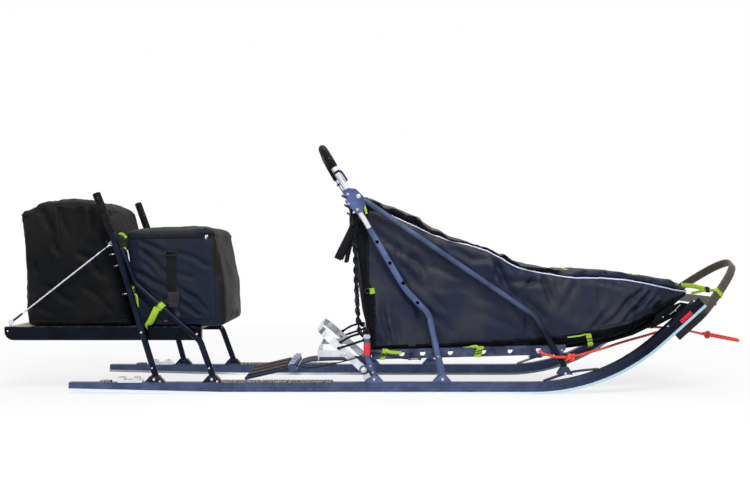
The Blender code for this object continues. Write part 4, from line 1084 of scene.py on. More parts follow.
def spline_ring(points, counts):
    """Smooth half ring through (y, z) corners, with a set number of steps in each stretch."""
    result = []
    for i, count in enumerate(counts):
        p0 = points[max(i - 1, 0)]
        p1, p2 = points[i], points[i + 1]
        p3 = points[min(i + 2, len(points) - 1)]
        for k in range(count):
            result.append(tuple(through(*values, k / count) for values in zip(p0, p1, p2, p3)))
    result.append(points[-1])
    return result


bed_line = ((1.454, 0.1601), (2.257, 0.1818), (2.27, 0.1826), (2.435, 0.205), (2.534, 0.234), (2.618, 0.2738),
            (2.687, 0.3137), (2.752, 0.3467), (2.83, 0.386))
# Piping height, lid crest and half widths at the piping, by station of the bag's top
piping_line = ((1.39, 0.733), (1.5, 0.732), (1.538, 0.722), (1.613, 0.687), (1.72, 0.638), (1.795, 0.612),
               (1.866, 0.596), (1.946, 0.571), (2.0, 0.542), (2.03, 0.523), (2.075, 0.502), (2.15, 0.485),
               (2.241, 0.47), (2.302, 0.462), (2.408, 0.461), (2.515, 0.453), (2.582, 0.442), (2.656, 0.427),
               (2.743, 0.409), (2.825, 0.399))
crest_line = ((1.39, 0.772), (1.452, 0.786), (1.527, 0.755), (1.634, 0.717), (1.656, 0.71), (1.678, 0.69),
              (1.728, 0.661), (1.748, 0.655), (1.769, 0.634), (1.827, 0.617), (1.882, 0.596), (1.962, 0.571),
              (2.0, 0.551), (2.016, 0.558), (2.034, 0.537), (2.064, 0.523), (2.15, 0.507), (2.204, 0.495),
              (2.222, 0.486), (2.262, 0.486), (2.334, 0.491), (2.43, 0.488), (2.538, 0.471), (2.619, 0.461),
              (2.727, 0.447), (2.754, 0.437), (2.799, 0.422), (2.825, 0.41))
# Top of the black band along the bag's foot, above the bed
foot_band = ((1.5, 0.024), (1.742, 0.026), (2.204, 0.043), (2.356, 0.052), (2.626, 0.042), (2.727, 0.039),
             (2.825, 0.012))
rear_band = ((0.16, 1.495), (0.385, 1.491), (0.44, 1.468), (0.74, 1.463))
# Creases of the cloth as seen from the side: two ends, depth and half width
cloth_creases = (
    ((1.5, 0.632), (1.575, 0.587), 0.007, 0.012), ((1.575, 0.587), (1.656, 0.536), 0.009, 0.013),
    ((1.656, 0.536), (1.745, 0.494), 0.007, 0.015), ((1.63, 0.562), (1.69, 0.474), 0.007, 0.013),
    ((1.575, 0.56), (1.64, 0.47), 0.005, 0.012), ((1.64, 0.47), (1.774, 0.335), 0.006, 0.015),
    ((1.698, 0.428), (1.8, 0.418), 0.005, 0.01), ((1.72, 0.519), (1.83, 0.47), 0.007, 0.013),
    ((1.968, 0.546), (2.006, 0.454), 0.01, 0.015), ((2.006, 0.454), (2.058, 0.376), 0.007, 0.016),
    ((1.986, 0.53), (1.962, 0.44), 0.005, 0.012), ((1.806, 0.578), (1.884, 0.536), 0.006, 0.011),
    ((1.884, 0.536), (1.958, 0.532), 0.005, 0.01), ((2.042, 0.452), (2.165, 0.44), 0.006, 0.012),
    ((2.168, 0.474), (2.205, 0.37), 0.007, 0.013), ((2.14, 0.468), (2.1, 0.42), 0.004, 0.01),
    ((1.52, 0.36), (1.545, 0.2), 0.006, 0.012), ((1.56, 0.34), (1.59, 0.205), 0.005, 0.012),
    ((1.5, 0.33), (1.56, 0.3), 0.004, 0.009), ((1.505, 0.262), (1.575, 0.24), 0.004, 0.009),
    ((1.61, 0.42), (1.68, 0.3), 0.005, 0.015), ((1.7, 0.33), (1.8, 0.25), 0.005, 0.015),
    ((1.84, 0.44), (1.95, 0.36), 0.005, 0.016), ((1.9, 0.33), (2.05, 0.26), 0.005, 0.017),
    ((2.1, 0.38), (2.18, 0.3), 0.005, 0.014), ((2.622, 0.403), (2.548, 0.336), 0.007, 0.011),
    ((2.59, 0.412), (2.52, 0.366), 0.005, 0.01), ((2.533, 0.384), (2.464, 0.3), 0.006, 0.011),
    ((2.464, 0.3), (2.405, 0.262), 0.005, 0.012), ((2.44, 0.33), (2.37, 0.252), 0.006, 0.012),
    ((2.66, 0.4), (2.61, 0.35), 0.004, 0.009), ((2.3, 0.44), (2.25, 0.33), 0.004, 0.014),
    ((2.56, 0.35), (2.5, 0.286), 0.004, 0.009), ((2.395, 0.452), (2.5, 0.42), 0.003, 0.01),
)
half_line = ((1.39, 0.2085), (1.6, 0.214), (2.08, 0.213), (2.24, 0.209), (2.42, 0.197), (2.534, 0.183),
             (2.618, 0.169), (2.687, 0.143), (2.75, 0.108), (2.8, 0.066), (2.825, 0.045))
RING_COUNTS = (5, 3, 3, 8, 8, 3, 2, 4, 4, 8)
PIPING_STEP = sum(RING_COUNTS[:6])


def cargo_rows():
    rows = []
    count = 136
    for index in range(count + 1):
        top = 1.39 + (2.822 - 1.39) * index / count
        low_station = lookup(top, ((1.39, 1.48), (1.556, 1.6), (1.661, 1.72), (1.915, 1.92), (2.822, 2.822)))
        low = lookup(low_station, bed_line) + 0.0006
        piping = lookup(top, piping_line)
        crest = lookup(top, crest_line)
        half = lookup(top, half_line)
        tall = piping - low
        soft = min(1.0, tall / 0.12)
        roll = crest - piping
        corners = [(0, low), (half * 0.72, low), (half - 0.01, low + 0.002 * soft), (half - 0.001, low + 0.022 * soft),
                   (half + 0.003 * soft, low + tall * 0.45), (half + 0.002 * soft, piping - 0.026 * soft),
                   (half - 0.001, piping), (half + 0.004 * soft, piping + min(roll * 0.42, 0.016)),
                   (half - 0.004 * soft, piping + roll * 0.8), (half * 0.9, crest), (0, crest - roll * 0.12)]
        ring = spline_ring(corners, RING_COUNTS)
        row = []
        for y, z in ring:
            share = (z - low) / max(crest - low, 0.01)
            station = low_station + (top - low_station) * share
            row.append(at(station, -y, z))
        other = [Vector((p.x, -p.y, p.z)) for p in row[-2:0:-1]]
        rows.append(row + other)
    return rows


def crease_depth(station, height, creases):
    """How far the creases draw the cloth in at a place, with a ridge pushed up beside each."""
    total = 0.0
    for (s0, z0), (s1, z1), depth, width in creases:
        way_s, way_z = s1 - s0, z1 - z0
        length = math.hypot(way_s, way_z)
        along = ((station - s0) * way_s + (height - z0) * way_z) / length
        if not -3 * width < along < length + 3 * width:
            continue
        across = ((station - s0) * way_z - (height - z0) * way_s) / length
        if abs(across) > 4.5 * width:
            continue
        bend = width * 0.8 * noise.noise(Vector((along * 14, s0 * 9, z0 * 9)))
        reach = (across + bend) / width
        fade = ease(along, -2 * width, 1.5 * width) * (1 - ease(along, length - 1.5 * width, length + 2 * width))
        total += 2.0 * depth * fade * (math.exp(-reach * reach) - 0.62 * math.exp(-(reach - 1.9) ** 2 / 1.4)
                                 - 0.3 * math.exp(-(reach + 2.1) ** 2 / 2))
    return total


def cap_rows(row, outward, crown, steps=5):
    """Rows that close an end with a soft crown, from the middle outwards."""
    centre = sum(row, Vector()) / len(row)
    result = []
    for step in range(1, steps + 1):
        share = 1 - step / (steps + 0.35)
        lift = crown * math.sqrt(1 - share * share)
        result.append([centre + (p - centre) * share + outward * lift for p in row])
    return result


def swell(mesh, folds, hold):
    """Move each point out along its normal by the folds, less where it is held."""
    shape = bmesh.new()
    shape.from_mesh(mesh)
    shape.normal_update()
    moves = [(v, v.normal * folds(v.co, v.normal) * hold(v.co)) for v in shape.verts]
    for v, move in moves:
        v.co += move
    shape.to_mesh(mesh)
    shape.free()


def ease(value, low, high):
    """Share of the way from low to high, soft at both ends."""
    share = min(1.0, max(0.0, (value - low) / (high - low)))
    return share * share * (3 - 2 * share)


def simulate(obj, pinned, pressure, growth, cap, frames=16):
    """Let the cloth grow a little over its held seams, so that it buckles as slack fabric does."""
    start = [v.co.copy() for v in obj.data.vertices]
    group = obj.vertex_groups.new(name="held")
    for index, weight in pinned.items():
        group.add([index], weight, "REPLACE")
    cloth = obj.modifiers.new("fabric", "CLOTH")
    settings = cloth.settings
    settings.quality = 6
    settings.mass = 0.25
    settings.tension_stiffness = 22
    settings.compression_stiffness = 12
    settings.bending_stiffness = 0.4
    settings.use_pressure = True
    settings.uniform_pressure_force = pressure
    settings.shrink_min = -growth
    settings.vertex_group_mass = "held"
    settings.effector_weights.gravity = 0
    cloth.collision_settings.use_collision = False
    cloth.point_cache.frame_end = frames
    for number in range(1, frames + 1):
        scene.frame_set(number)
    graph = bpy.context.evaluated_depsgraph_get()
    moved = bpy.data.meshes.new_from_object(obj.evaluated_get(graph))
    places = [v.co.copy() for v in moved.vertices]
    obj.modifiers.remove(cloth)
    for vertex, before, after in zip(obj.data.vertices, start, places):
        move = after - before
        if move.length > cap:
            move *= cap / move.length
        vertex.co = before + move
    bpy.data.meshes.remove(moved)
    scene.frame_set(1)


def subdivided(mesh, levels=1):
    """The mesh after one round of smooth subdivision, as a plain mesh."""
    holder = bpy.data.objects.new("smoothing", mesh)
    scene.collection.objects.link(holder)
    modifier = holder.modifiers.new("smooth", "SUBSURF")
    modifier.levels = levels
    modifier.render_levels = levels
    graph = bpy.context.evaluated_depsgraph_get()
    result = bpy.data.meshes.new_from_object(holder.evaluated_get(graph))
    bpy.data.objects.remove(holder)
    return result


def surface_of(obj):
    """Search tree of an object's shape, for laying seams and straps on it."""
    graph = bpy.context.evaluated_depsgraph_get()
    return BVHTree.FromObject(obj, graph)


def laid(tree, points, direction, lift, step=0.006):
    """Points dropped on a surface along a direction, and the surface's normals there."""
    direction = Vector(direction)
    places = []
    normals = []
    for point in smooth_path(points, step):
        hit, normal, _, _ = tree.ray_cast(point - direction * 0.3, direction, 0.6)
        if hit is None:
            hit, normal, _, _ = tree.find_nearest(point)
        if normal.dot(direction) > 0:
            normal = -normal
        places.append(hit + normal * lift)
        normals.append(normal)
    return places, normals


def sewn_seam(name, tree, lines, direction, thread=SEAM_THREAD, radius=0.0012):
    """Raised seams with a row of stitches beside each."""
    shape = Shape()
    chains = []
    facing = []
    for line in lines:
        places, normals = laid(tree, line, direction, 0.0002)
        shape.sweep(places, disc(radius, 8), normals)
        sides = []
        for index, place in enumerate(places):
            along = way_at(places, index)
            sides.append(place + along.cross(normals[index]).normalized() * 0.0045)
        snapped = [tree.find_nearest(p) for p in sides]
        chains.append([hit[0] for hit in snapped])
        facing.append(normals)
    show(name, shape.done(name, 60), BLACK_WEBBING, "sled")
    stitches = grown(name + "_stitches", REPEAT_ALONG, chains, facing, STITCH, thread, None, 0.0055)
    show(name + "_stitches", stitches, None, "sled")


def lay_strap(shape, tree, points, direction, width, thickness, lift):
    places, normals = laid(tree, points, direction, lift, 0.008)
    smooth = [sum((normals[max(0, min(len(normals) - 1, i + k))] for k in range(-2, 3)), Vector()).normalized()
              for i in range(len(normals))]
    shape.sweep(places, flat_strap(width, thickness), smooth)


roll_bumps = (1.672, 1.772, 2.062, 2.236, 2.3, 2.792)


def cargo_bag():
    rows = cargo_rows()
    first = cap_rows(rows[0], Vector((-1, 0, 0.1)).normalized(), 0.012)
    last = cap_rows(rows[-1], Vector((1, 0, 0.3)).normalized(), 0.006, 3)
    shape = Shape()
    shape.grid(first[::-1] + rows + last)
    mesh = shape.done("cargo_bag_cloth", 180)

    def folds(place, normal):
        station = place.x + LENGTH / 2
        side = ease(abs(normal.y), 0.35, 0.8)
        mirrored_seed = 0.0 if place.y < 0 else 5.3
        rear = 1 - ease(station, 1.62, 1.8)
        slanted = fold_height(place, 2.2, math.radians(38), 14, 4.2 + mirrored_seed) * (1 - rear)
        upright = fold_height(place, 3.0, math.radians(70), 15, 9.1 + mirrored_seed) * rear
        small = noise.noise(place * 30) * 0.3
        top = noise.noise(Vector((place.x * 16, place.y * 7, 2.7))) * (1 - side)
        roll = side * ease(place.z, lookup(station, piping_line) + 0.004, lookup(station, piping_line) + 0.014)
        pleats = noise.noise(Vector((place.x * 42, place.z * 12, 6.1))) * roll
        bumps = sum(math.exp(-((station - s) / 0.013) ** 2) for s in roll_bumps) * (1 - side + roll)
        return (0.0056 * (slanted + upright) * side + 0.0034 * (small + top * 1.3 + pleats * 1.6) + 0.006 * bumps
                - side * crease_depth(station, place.z, cloth_creases))

    def hold(place):
        station = place.x + LENGTH / 2
        low = lookup(station, bed_line)
        piping = lookup(station, piping_line)
        near_bed = ease(place.z, low + 0.006, low + 0.05)
        near_piping = 0.25 + 0.75 * ease(abs(place.z - piping), 0.002, 0.03)
        nose = 1 - 0.6 * ease(station, 2.66, 2.82)
        return near_bed * near_piping * nose

    obj = show("cargo_bag_cloth", mesh, BAG_FABRIC, None)
    columns = len(rows[0])
    held = {}
    for vertex in mesh.vertices:
        step = vertex.index % columns
        held[vertex.index] = float(min(step, columns - step) in (*range(10), PIPING_STEP))
    simulate(obj, held, 0.9, 0.05, 0.008)
    old = obj.data.copy()
    for face in obj.data.polygons:
        steps = [min(v % columns, columns - v % columns) for v in face.vertices]
        last_step = PIPING_STEP + (8 if face.center.x + LENGTH / 2 < 2.23 else 2)
        face.material_index = int(min(steps) >= PIPING_STEP and max(steps) <= last_step)
    final = subdivided(obj.data)
    banded = [face.material_index for face in final.polygons]
    swell(final, folds, hold)
    final.shade_smooth()
    obj.data = final
    final.name = "cargo_bag_cloth"
    obj.vertex_groups.clear()
    final.materials.clear()
    final.materials.append(BAG_FABRIC)
    final.materials.append(BAND_FABRIC)
    final_tree = surface_of(obj)
    offset = len(first)
    lines = {}
    for side, step in (("near", PIPING_STEP), ("far", columns - PIPING_STEP)):
        lines[side] = [final_tree.find_nearest(old.vertices[(offset + k) * columns + step].co)[0]
                       for k in range(len(rows))]
    for face, in_band in zip(final.polygons, banded):
        station = face.center.x + LENGTH / 2
        foot = face.center.z < lookup(station, bed_line) + lookup(station, foot_band)
        face.material_index = int(in_band or foot or station < lookup(face.center.z, rear_band))
    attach(obj, "sled")
    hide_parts("cargo_bag")
    return obj, lines


cargo, piping_paths = cargo_bag()
cargo_tree = surface_of(cargo)


def cargo_piping():
    for side, sign in SIDES:
        line = [p for p in piping_paths[side] if p.x + LENGTH / 2 > 1.492]
        path = even_path([p + Vector((0, sign * 0.0022, 0.0002)) for p in line], 0.006)
        shape = Shape()
        shape.sweep(path, disc(0.0025, 10))
        show(f"cargo_piping_{side}", shape.done("piping", 60), PIPING_CORD, "sled")
        shape = Shape()
        for rise in (-0.0042, 0.0042):
            flange = [p + Vector((0, -sign * 0.0016, rise)) for p in path]
            shape.sweep(flange, flat_strap(0.0042, 0.0022), Vector((0, sign, 0)))
        show(f"cargo_piping_flange_{side}", shape.done("flange", 60), PURPLE_EDGE, "sled")


cargo_piping()


# Seat bags

def rounded_ring(a, b, radius, count):
    """Evenly spaced (u, v) points of a rounded rectangle with half sides a and b."""
    corner = min(radius, a * 0.95, b * 0.95)
    path = []
    for quarter, (cu, cv) in enumerate(((1, 1), (-1, 1), (-1, -1), (1, -1))):
        for step in range(9):
            turn = math.pi / 2 * (quarter + step / 8)
            path.append(Vector((cu * (a - corner) + corner * math.cos(turn),
                                cv * (b - corner) + corner * math.sin(turn), 0)))
    path.append(path[0].copy())
    lengths = [0.0]
    for p, q in zip(path, path[1:]):
        lengths.append(lengths[-1] + (q - p).length)
    ring = []
    j = 0
    for k in range(count):
        want = lengths[-1] * k / count
        while lengths[j + 1] < want:
            j += 1
        ring.append(path[j].lerp(path[j + 1], (want - lengths[j]) / max(lengths[j + 1] - lengths[j], 1e-9)))
    return ring


def seat_bag_rows(back, front, low, top, half, corner, bulge, count=44, around=112):
    """Level rings of a soft box whose sides bulge between its edges."""
    rows = []
    middle_top = lookup((back[-1][1] + front[-1][1]) / 2, top)
    for index in range(count + 1):
        share = index / count
        height = 0.45 * share + 0.55 * (0.5 - 0.5 * math.cos(math.pi * share))
        level = low + (middle_top - low) * height
        start, end = lookup(level, back), lookup(level, front)
        edge = min(height, 1 - height) * (middle_top - low)
        inset = corner - math.sqrt(max(0.0, corner ** 2 - max(0.0, corner - edge) ** 2))
        ring = rounded_ring((end - start) / 2 - inset, half - inset, 0.026, around)
        swelling = bulge * math.sin(math.pi * min(1, height * 1.1)) ** 0.7
        row = []
        for point in ring:
            u, v = point.x, point.y
            along = 1 - abs(u) / ((end - start) / 2)
            side = 1 - abs(v) / half
            push_out = Vector((math.copysign(swelling * side, u) if abs(u) > abs((end - start) / 2 - 0.03) else 0,
                               math.copysign(swelling * along, v) if abs(v) > half - 0.03 else 0, 0))
            station = (start + end) / 2 + u + push_out.x
            z = low + (lookup(station, top) - low) * height
            row.append(at(station, v + push_out.y, z))
        rows.append(row)
    return rows


def seat_bag(name, rows, material, stands_for, crown, ridges, seed, creases):
    first = cap_rows(rows[0], Vector((0, 0, -1)), 0.0)
    last = cap_rows(rows[-1], Z_WAY, crown, 8)
    shape = Shape()
    shape.grid(first[::-1] + rows + last)
    mesh = shape.done(name, 180)
    floor_level = rows[0][0].z

    def folds(place, normal):
        lean = math.radians(30 + 40 * noise.noise(Vector((seed, place.x * 3, place.z * 2))))
        slanted = fold_height(Vector((place.x + place.y * 0.8, place.y, place.z)), 2.5, lean, 13, seed)
        small = noise.noise(place * 30 + Vector((seed, 0, 0)))
        side = ease(abs(normal.y), 0.4, 0.85)
        return ridges * (0.45 * slanted + 0.3 * small) - side * crease_depth(place.x + LENGTH / 2, place.z, creases)

    obj = show(name, mesh, material, None)
    columns = len(rows[0])
    offset = len(first)
    held = {}
    for vertex in mesh.vertices:
        row = vertex.index // columns - offset
        held[vertex.index] = 1.0 if row <= 2 or len(rows) - 3 <= row <= len(rows) else 0.0
    simulate(obj, held, 1.0, 0.04, 0.007)
    final = subdivided(obj.data)
    swell(final, folds, lambda place: ease(place.z, floor_level + 0.004, floor_level + 0.05))
    final.shade_smooth()
    final.name = name
    obj.data = final
    obj.vertex_groups.clear()
    final.materials.clear()
    final.materials.append(material)
    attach(obj, "sled")
    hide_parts(stands_for)
    return obj


def lid_rim(name, rows, depth, material):
    """Hem of the lid, a soft band that overlaps the bag's walls."""
    centre = sum(rows[-4], Vector()) / len(rows[-4])

    def outwards(point):
        return Vector((point.x - centre.x, point.y - centre.y, 0)).normalized()

    track = [point + outwards(point) * 0.0035 + Z_WAY * 0.003 for point in rows[-4]]
    outs = [outwards(point) for point in track]
    places = [point + out * 0.0015 * noise.noise(point * 22) for point, out in zip(track, outs)]
    profile = [(0.0, 0.0), (-depth * 0.15, 0.0016), (-depth * 0.5, 0.002), (-depth * 0.85, 0.0022), (-depth, 0.001),
               (-depth, -0.0014), (-depth * 0.5, -0.002), (0.0, -0.002)]
    shape = Shape()
    hoop(shape, places, outs, Z_WAY, profile)
    show(name, shape.done(name, 50), material, "sled")


REAR_BACK = ((0.266, 0.084), (0.284, 0.082), (0.455, 0.069), (0.741, 0.055), (0.79, 0.06))
REAR_FRONT = ((0.266, 0.513), (0.768, 0.392), (0.79, 0.388))
REAR_TOP = ((0.05, 0.736), (0.11, 0.738), (0.122, 0.764), (0.25, 0.772), (0.34, 0.77), (0.4, 0.756))
BOX_BACK = ((0.266, 0.521), (0.655, 0.487))
BOX_FRONT = ((0.266, 0.874), (0.3, 0.882), (0.444, 0.873), (0.622, 0.838))
BOX_TOP = ((0.48, 0.654), (0.7, 0.655), (0.79, 0.664), (0.822, 0.668), (0.85, 0.648))
rear_creases = (
    ((0.15, 0.735), (0.215, 0.56), 0.005, 0.013), ((0.215, 0.745), (0.25, 0.64), 0.004, 0.012),
    ((0.3, 0.75), (0.305, 0.62), 0.004, 0.012), ((0.345, 0.74), (0.365, 0.64), 0.004, 0.01),
    ((0.1, 0.64), (0.12, 0.48), 0.004, 0.013), ((0.3, 0.56), (0.4, 0.47), 0.005, 0.014),
    ((0.17, 0.43), (0.27, 0.36), 0.005, 0.015), ((0.33, 0.42), (0.43, 0.33), 0.005, 0.014),
    ((0.11, 0.36), (0.19, 0.31), 0.004, 0.012),
)
box_creases = (
    ((0.552, 0.612), (0.639, 0.572), 0.005, 0.009), ((0.556, 0.572), (0.65, 0.486), 0.006, 0.01),
    ((0.527, 0.486), (0.592, 0.45), 0.006, 0.01), ((0.592, 0.45), (0.664, 0.417), 0.006, 0.011),
    ((0.7, 0.421), (0.765, 0.385), 0.006, 0.01), ((0.765, 0.385), (0.803, 0.334), 0.006, 0.01),
    ((0.715, 0.356), (0.787, 0.309), 0.005, 0.009), ((0.541, 0.399), (0.592, 0.352), 0.005, 0.01),
    ((0.693, 0.565), (0.765, 0.543), 0.004, 0.01), ((0.765, 0.543), (0.819, 0.511), 0.004, 0.01),
    ((0.7, 0.486), (0.754, 0.464), 0.004, 0.01), ((0.56, 0.53), (0.61, 0.47), 0.004, 0.009),
    ((0.64, 0.38), (0.7, 0.32), 0.004, 0.01),
)
rear_rows = seat_bag_rows(REAR_BACK, REAR_FRONT, 0.2664, REAR_TOP, 0.214, 0.012, 0.005)
rear_bag = seat_bag("rear_seat_bag", rear_rows, SEAT_BAG_FABRIC, "rear_bag", 0.02, 0.005, 3.3, rear_creases)
box_rows = seat_bag_rows(BOX_BACK, BOX_FRONT, 0.2664, BOX_TOP, 0.219, 0.012, 0.003)
box_bag = seat_bag("front_box_bag", box_rows, BOX_BAG_FABRIC, "front_bag", 0.01, 0.0036, 7.9, box_creases)
rear_tree = surface_of(rear_bag)
box_tree = surface_of(box_bag)


def mirrored(points, sign):
    """Near-side (station, height) points, set well out on a side."""
    return [at(s, sign * 0.2, z) for s, z in points]


def seat_bag_details():
    """Seams, zips, straps and buckles of the two seat bags."""
    for side, sign in SIDES:
        inwards = Y_WAY * -sign
        for name, tree, lines in (
            ("rear_bag_seams", rear_tree, (((0.118, 0.745), (0.119, 0.7), (0.121, 0.672)),
                                           ((0.205, 0.75), (0.214, 0.69), (0.222, 0.64)),
                                           ((0.11, 0.292), (0.3, 0.288), (0.48, 0.29)))),
            ("box_bag_seams", box_tree, (((0.838, 0.618), (0.842, 0.45), (0.846, 0.296)),
                                         ((0.527, 0.626), (0.528, 0.45), (0.534, 0.3)),
                                         ((0.534, 0.297), (0.7, 0.296), (0.846, 0.296)))),
        ):
            sewn_seam(f"{name}_{side}", tree, [mirrored(line, sign) for line in lines], inwards)
        zip_path, zip_normals = laid(box_tree, mirrored([(0.5, 0.628), (0.68, 0.629), (0.826, 0.631)], sign), inwards,
                                     0.0009, 0.004)
        shape = Shape()
        shape.sweep(zip_path, flat_strap(0.014, 0.0012), zip_normals)
        show(f"box_bag_zip_tape_{side}", shape.done("zip_tape", 50), BLACK_WEBBING, "sled")
        raised = [p + n * 0.0006 for p, n in zip(zip_path, zip_normals)]
        teeth = grown(f"box_bag_zip_{side}", REPEAT_ALONG, [raised], [zip_normals], ZIP_TOOTH, BLACK_PLASTIC, None,
                      0.0028)
        show(f"box_bag_zip_{side}", teeth, None, "sled")
        shape = Shape()
        blocks(shape, raised[-5], sign, (((0, 0.0028, 0), (0.011, 0.0045, 0.009), 0.0012),
                                         ((-0.004, 0.004, -0.014), (0.006, 0.0016, 0.024), 0.0006)))
        show(f"box_bag_zip_pull_{side}", shape.done("pull"), CHROME_METAL, "sled")
        for name, mesh_name, cloth, straps in (
            ("box_bag_strap", "strap", BLACK_WEBBING, ((((0.671, 0.571), (0.671, 0.5), (0.673, 0.41)), 0.038, 0.003),)),
            ("box_bag_strap_ends", "strap_ends", SLATE_WEBBING, ((((0.667, 0.382), (0.667, 0.346)), 0.024, 0.0105),
                                                                 (((0.691, 0.344), (0.693, 0.306)), 0.024, 0.006))),
        ):
            shape = Shape()
            for line, width, lift in straps:
                lay_strap(shape, box_tree, mirrored(line, sign), inwards, width, STRAP, lift)
            show(f"{name}_{side}", shape.done(mesh_name, 50), cloth, "sled")
        shape = Shape()
        ladder = box_tree.ray_cast(at(0.671, sign * 0.5, 0.561), inwards)[0]
        release = box_tree.ray_cast(at(0.683, sign * 0.5, 0.376), inwards)[0]
        blocks(shape, ladder, sign, [((0, 0.0064, z), (0.044, 0.005, 0.0036), 0.001) for z in (-0.0085, 0.0085)]
               + [((x, 0.006, 0), (0.004, 0.006, 0.02), 0.001) for x in (-0.0205, 0.0205)])
        blocks(shape, release, sign, [((0, 0.0075, 0.012), (0.046, 0.01, 0.04), 0.0032),
                                      ((0, 0.007, -0.02), (0.04, 0.0085, 0.024), 0.0028)]
               + [((x, 0.0072, -0.006), (0.007, 0.0085, 0.018), 0.002) for x in (-0.019, 0.019)])
        show(f"box_bag_buckles_{side}", shape.done("buckles"), BLACK_PLASTIC, "sled")
    shape = Shape()
    places, normals = laid(box_tree, [at(0.637, -0.2, 0.2885), at(0.652, -0.2, 0.2875)], Y_WAY, 0.0012)
    shape.sweep(places, flat_strap(0.009, 0.001), normals)
    show("box_bag_tag", shape.done("tag", 50), TAG_CLOTH, "sled")


lid_rim("rear_bag_lid_hem", rear_rows, 0.008, SEAT_BAG_FABRIC)
lid_rim("box_bag_lid_hem", box_rows, 0.012, BOX_BAG_FABRIC)
seat_bag_details()


# Rope

def twisted_rope(shape, path, radius, strands=3, pitch=None):
    """Laid strands round a path."""
    pitch = pitch or radius * 7
    path = even_path(path, radius * 0.85)
    normal = Z_WAY
    tracks = [[] for _ in range(strands)]
    travelled = 0.0
    for index, place in enumerate(path):
        along = way_at(path, index)
        side = along.cross(normal).normalized()
        normal = side.cross(along).normalized()
        if index:
            travelled += (place - path[index - 1]).length
        for strand in range(strands):
            turn = 2 * math.pi * (travelled / pitch + strand / strands)
            tracks[strand].append(place + (side * math.cos(turn) + normal * math.sin(turn)) * radius * 0.5)
    for track in tracks:
        shape.sweep(track, disc(radius * 0.54, 7))


def tied_knot(shape, centre, size, radius, turn):
    """A tight knot: a rope on a trefoil track."""
    count = 60
    path = []
    for step in range(count):
        t = 2 * math.pi * step / count
        local = Vector((math.sin(t) + 2 * math.sin(2 * t), math.cos(t) - 2 * math.cos(2 * t), -math.sin(3 * t) * 1.2))
        path.append(centre + turn @ (local * size / 3))
    rows = []
    for index, place in enumerate(path):
        along = (path[(index + 1) % count] - path[index - 1]).normalized()
        side = along.cross((place - centre).normalized()).normalized()
        normal = side.cross(along).normalized()
        rows.append([place + side * u + normal * v for u, v in disc(radius, 8)])
    shape.grid(rows, ring=True)


def rope_run(shape, sign, rows, radius, strands=3, pitch=None, step=0.004):
    """Laid rope through near-side rows, set on either side."""
    twisted_rope(shape, smooth_path(on_side(sign, *rows), step), radius, strands, pitch)


def rail_low(station):
    """Height of the basket rail's lower edge."""
    return 0.134 + 0.027 * (station - 1.45)


def bridle():
    """Red towing bridle, tied at the last holes of the basket rails, knotted into one loop at its front."""
    hole_height = rail_low(2.148) + 0.019
    slanted = ((2.275, 0.148), (2.41, 0.174), (2.512, 0.198), (2.609, 0.217), (2.7, 0.234), (2.8, 0.234), (2.86, 0.226))
    rows = [(2.148, 0.223, hole_height), (2.149, 0.2417, hole_height), (2.162, 0.2556, 0.161), (2.208, 0.2695, 0.1505),
            (2.242, 0.2695, 0.1495)]
    rows += [(s, 0.2695 * (2.934 - s) / 0.692, z) for s, z in slanted]
    rows += [(2.918, 0.006, 0.2125), (2.934, 0.004, 0.211)]
    sideways = UPRIGHT.to_3x3()
    shape, ties = Shape(), Shape()
    for side, sign in SIDES:
        rope_run(shape, sign, rows, 0.0054)
        tied_knot(shape, at(2.272, sign * 0.266, 0.1485), 0.014, 0.0048, sideways)
        rope_run(shape, sign, ((2.268, 0.268, 0.148), (2.254, 0.2735, 0.141), (2.246, 0.2745, 0.134)), 0.0034)
        tied_knot(ties, at(2.146, sign * 0.24, hole_height), 0.0085, 0.003, sideways)
    tied_knot(shape, at(2.934, 0, 0.211), 0.016, 0.0058, Matrix.Rotation(0.5, 3, "X"))
    end = LENGTH - 0.005
    corners = on_side(1, (2.934, -0.006, 0.208), (2.965, -0.009, 0.2025), (end, -0.009, 0.183), (end, 0.009, 0.189),
                      (2.965, 0.009, 0.2105), (2.934, 0.006, 0.214))
    twisted_rope(shape, [corners[0]] + bent(corners[1:5], [0.009, 0.009], 6) + [corners[5]], 0.0052)
    show("bridle_rope", shape.done("bridle_rope", 70), RED_ROPE, "sled", ["bridle"])
    show("bridle_end_ties", ties.done("end_ties", 70), PIPING_CORD, "sled")


bridle()


def chain_knotted_rope():
    """Black rope in a chain of loops from the gusset down to the rear stanchion."""
    rows = ((1.432, 0.232, 0.722), (1.42, 0.222, 0.69), (1.411, 0.208, 0.64), (1.41, 0.2, 0.58),
            (1.414, 0.198, 0.453), (1.418, 0.2, 0.37), (1.422, 0.207, 0.291), (1.43, 0.22, 0.24), (1.443, 0.232, 0.229))
    for side, sign in SIDES:
        core = even_path(smooth_path(on_side(sign, *rows), 0.004), 0.0205)
        shape = Shape()
        for index, (low, high) in enumerate(zip(core, core[1:])):
            along = (high - low).normalized()
            side_way = along.cross(Y_WAY if index % 2 else X_WAY).normalized()
            track = oval((low + high) / 2, along * 0.015, side_way * 0.0072, 18)
            hoop(shape, *track, side_way.cross(along), disc(0.0034, 7))
        rope_run(shape, sign, rows, 0.004)
        show(f"chain_knotted_rope_{side}", shape.done("chain_rope", 70), BLACK_ROPE, "sled")


chain_knotted_rope()


# Brake and drag mat

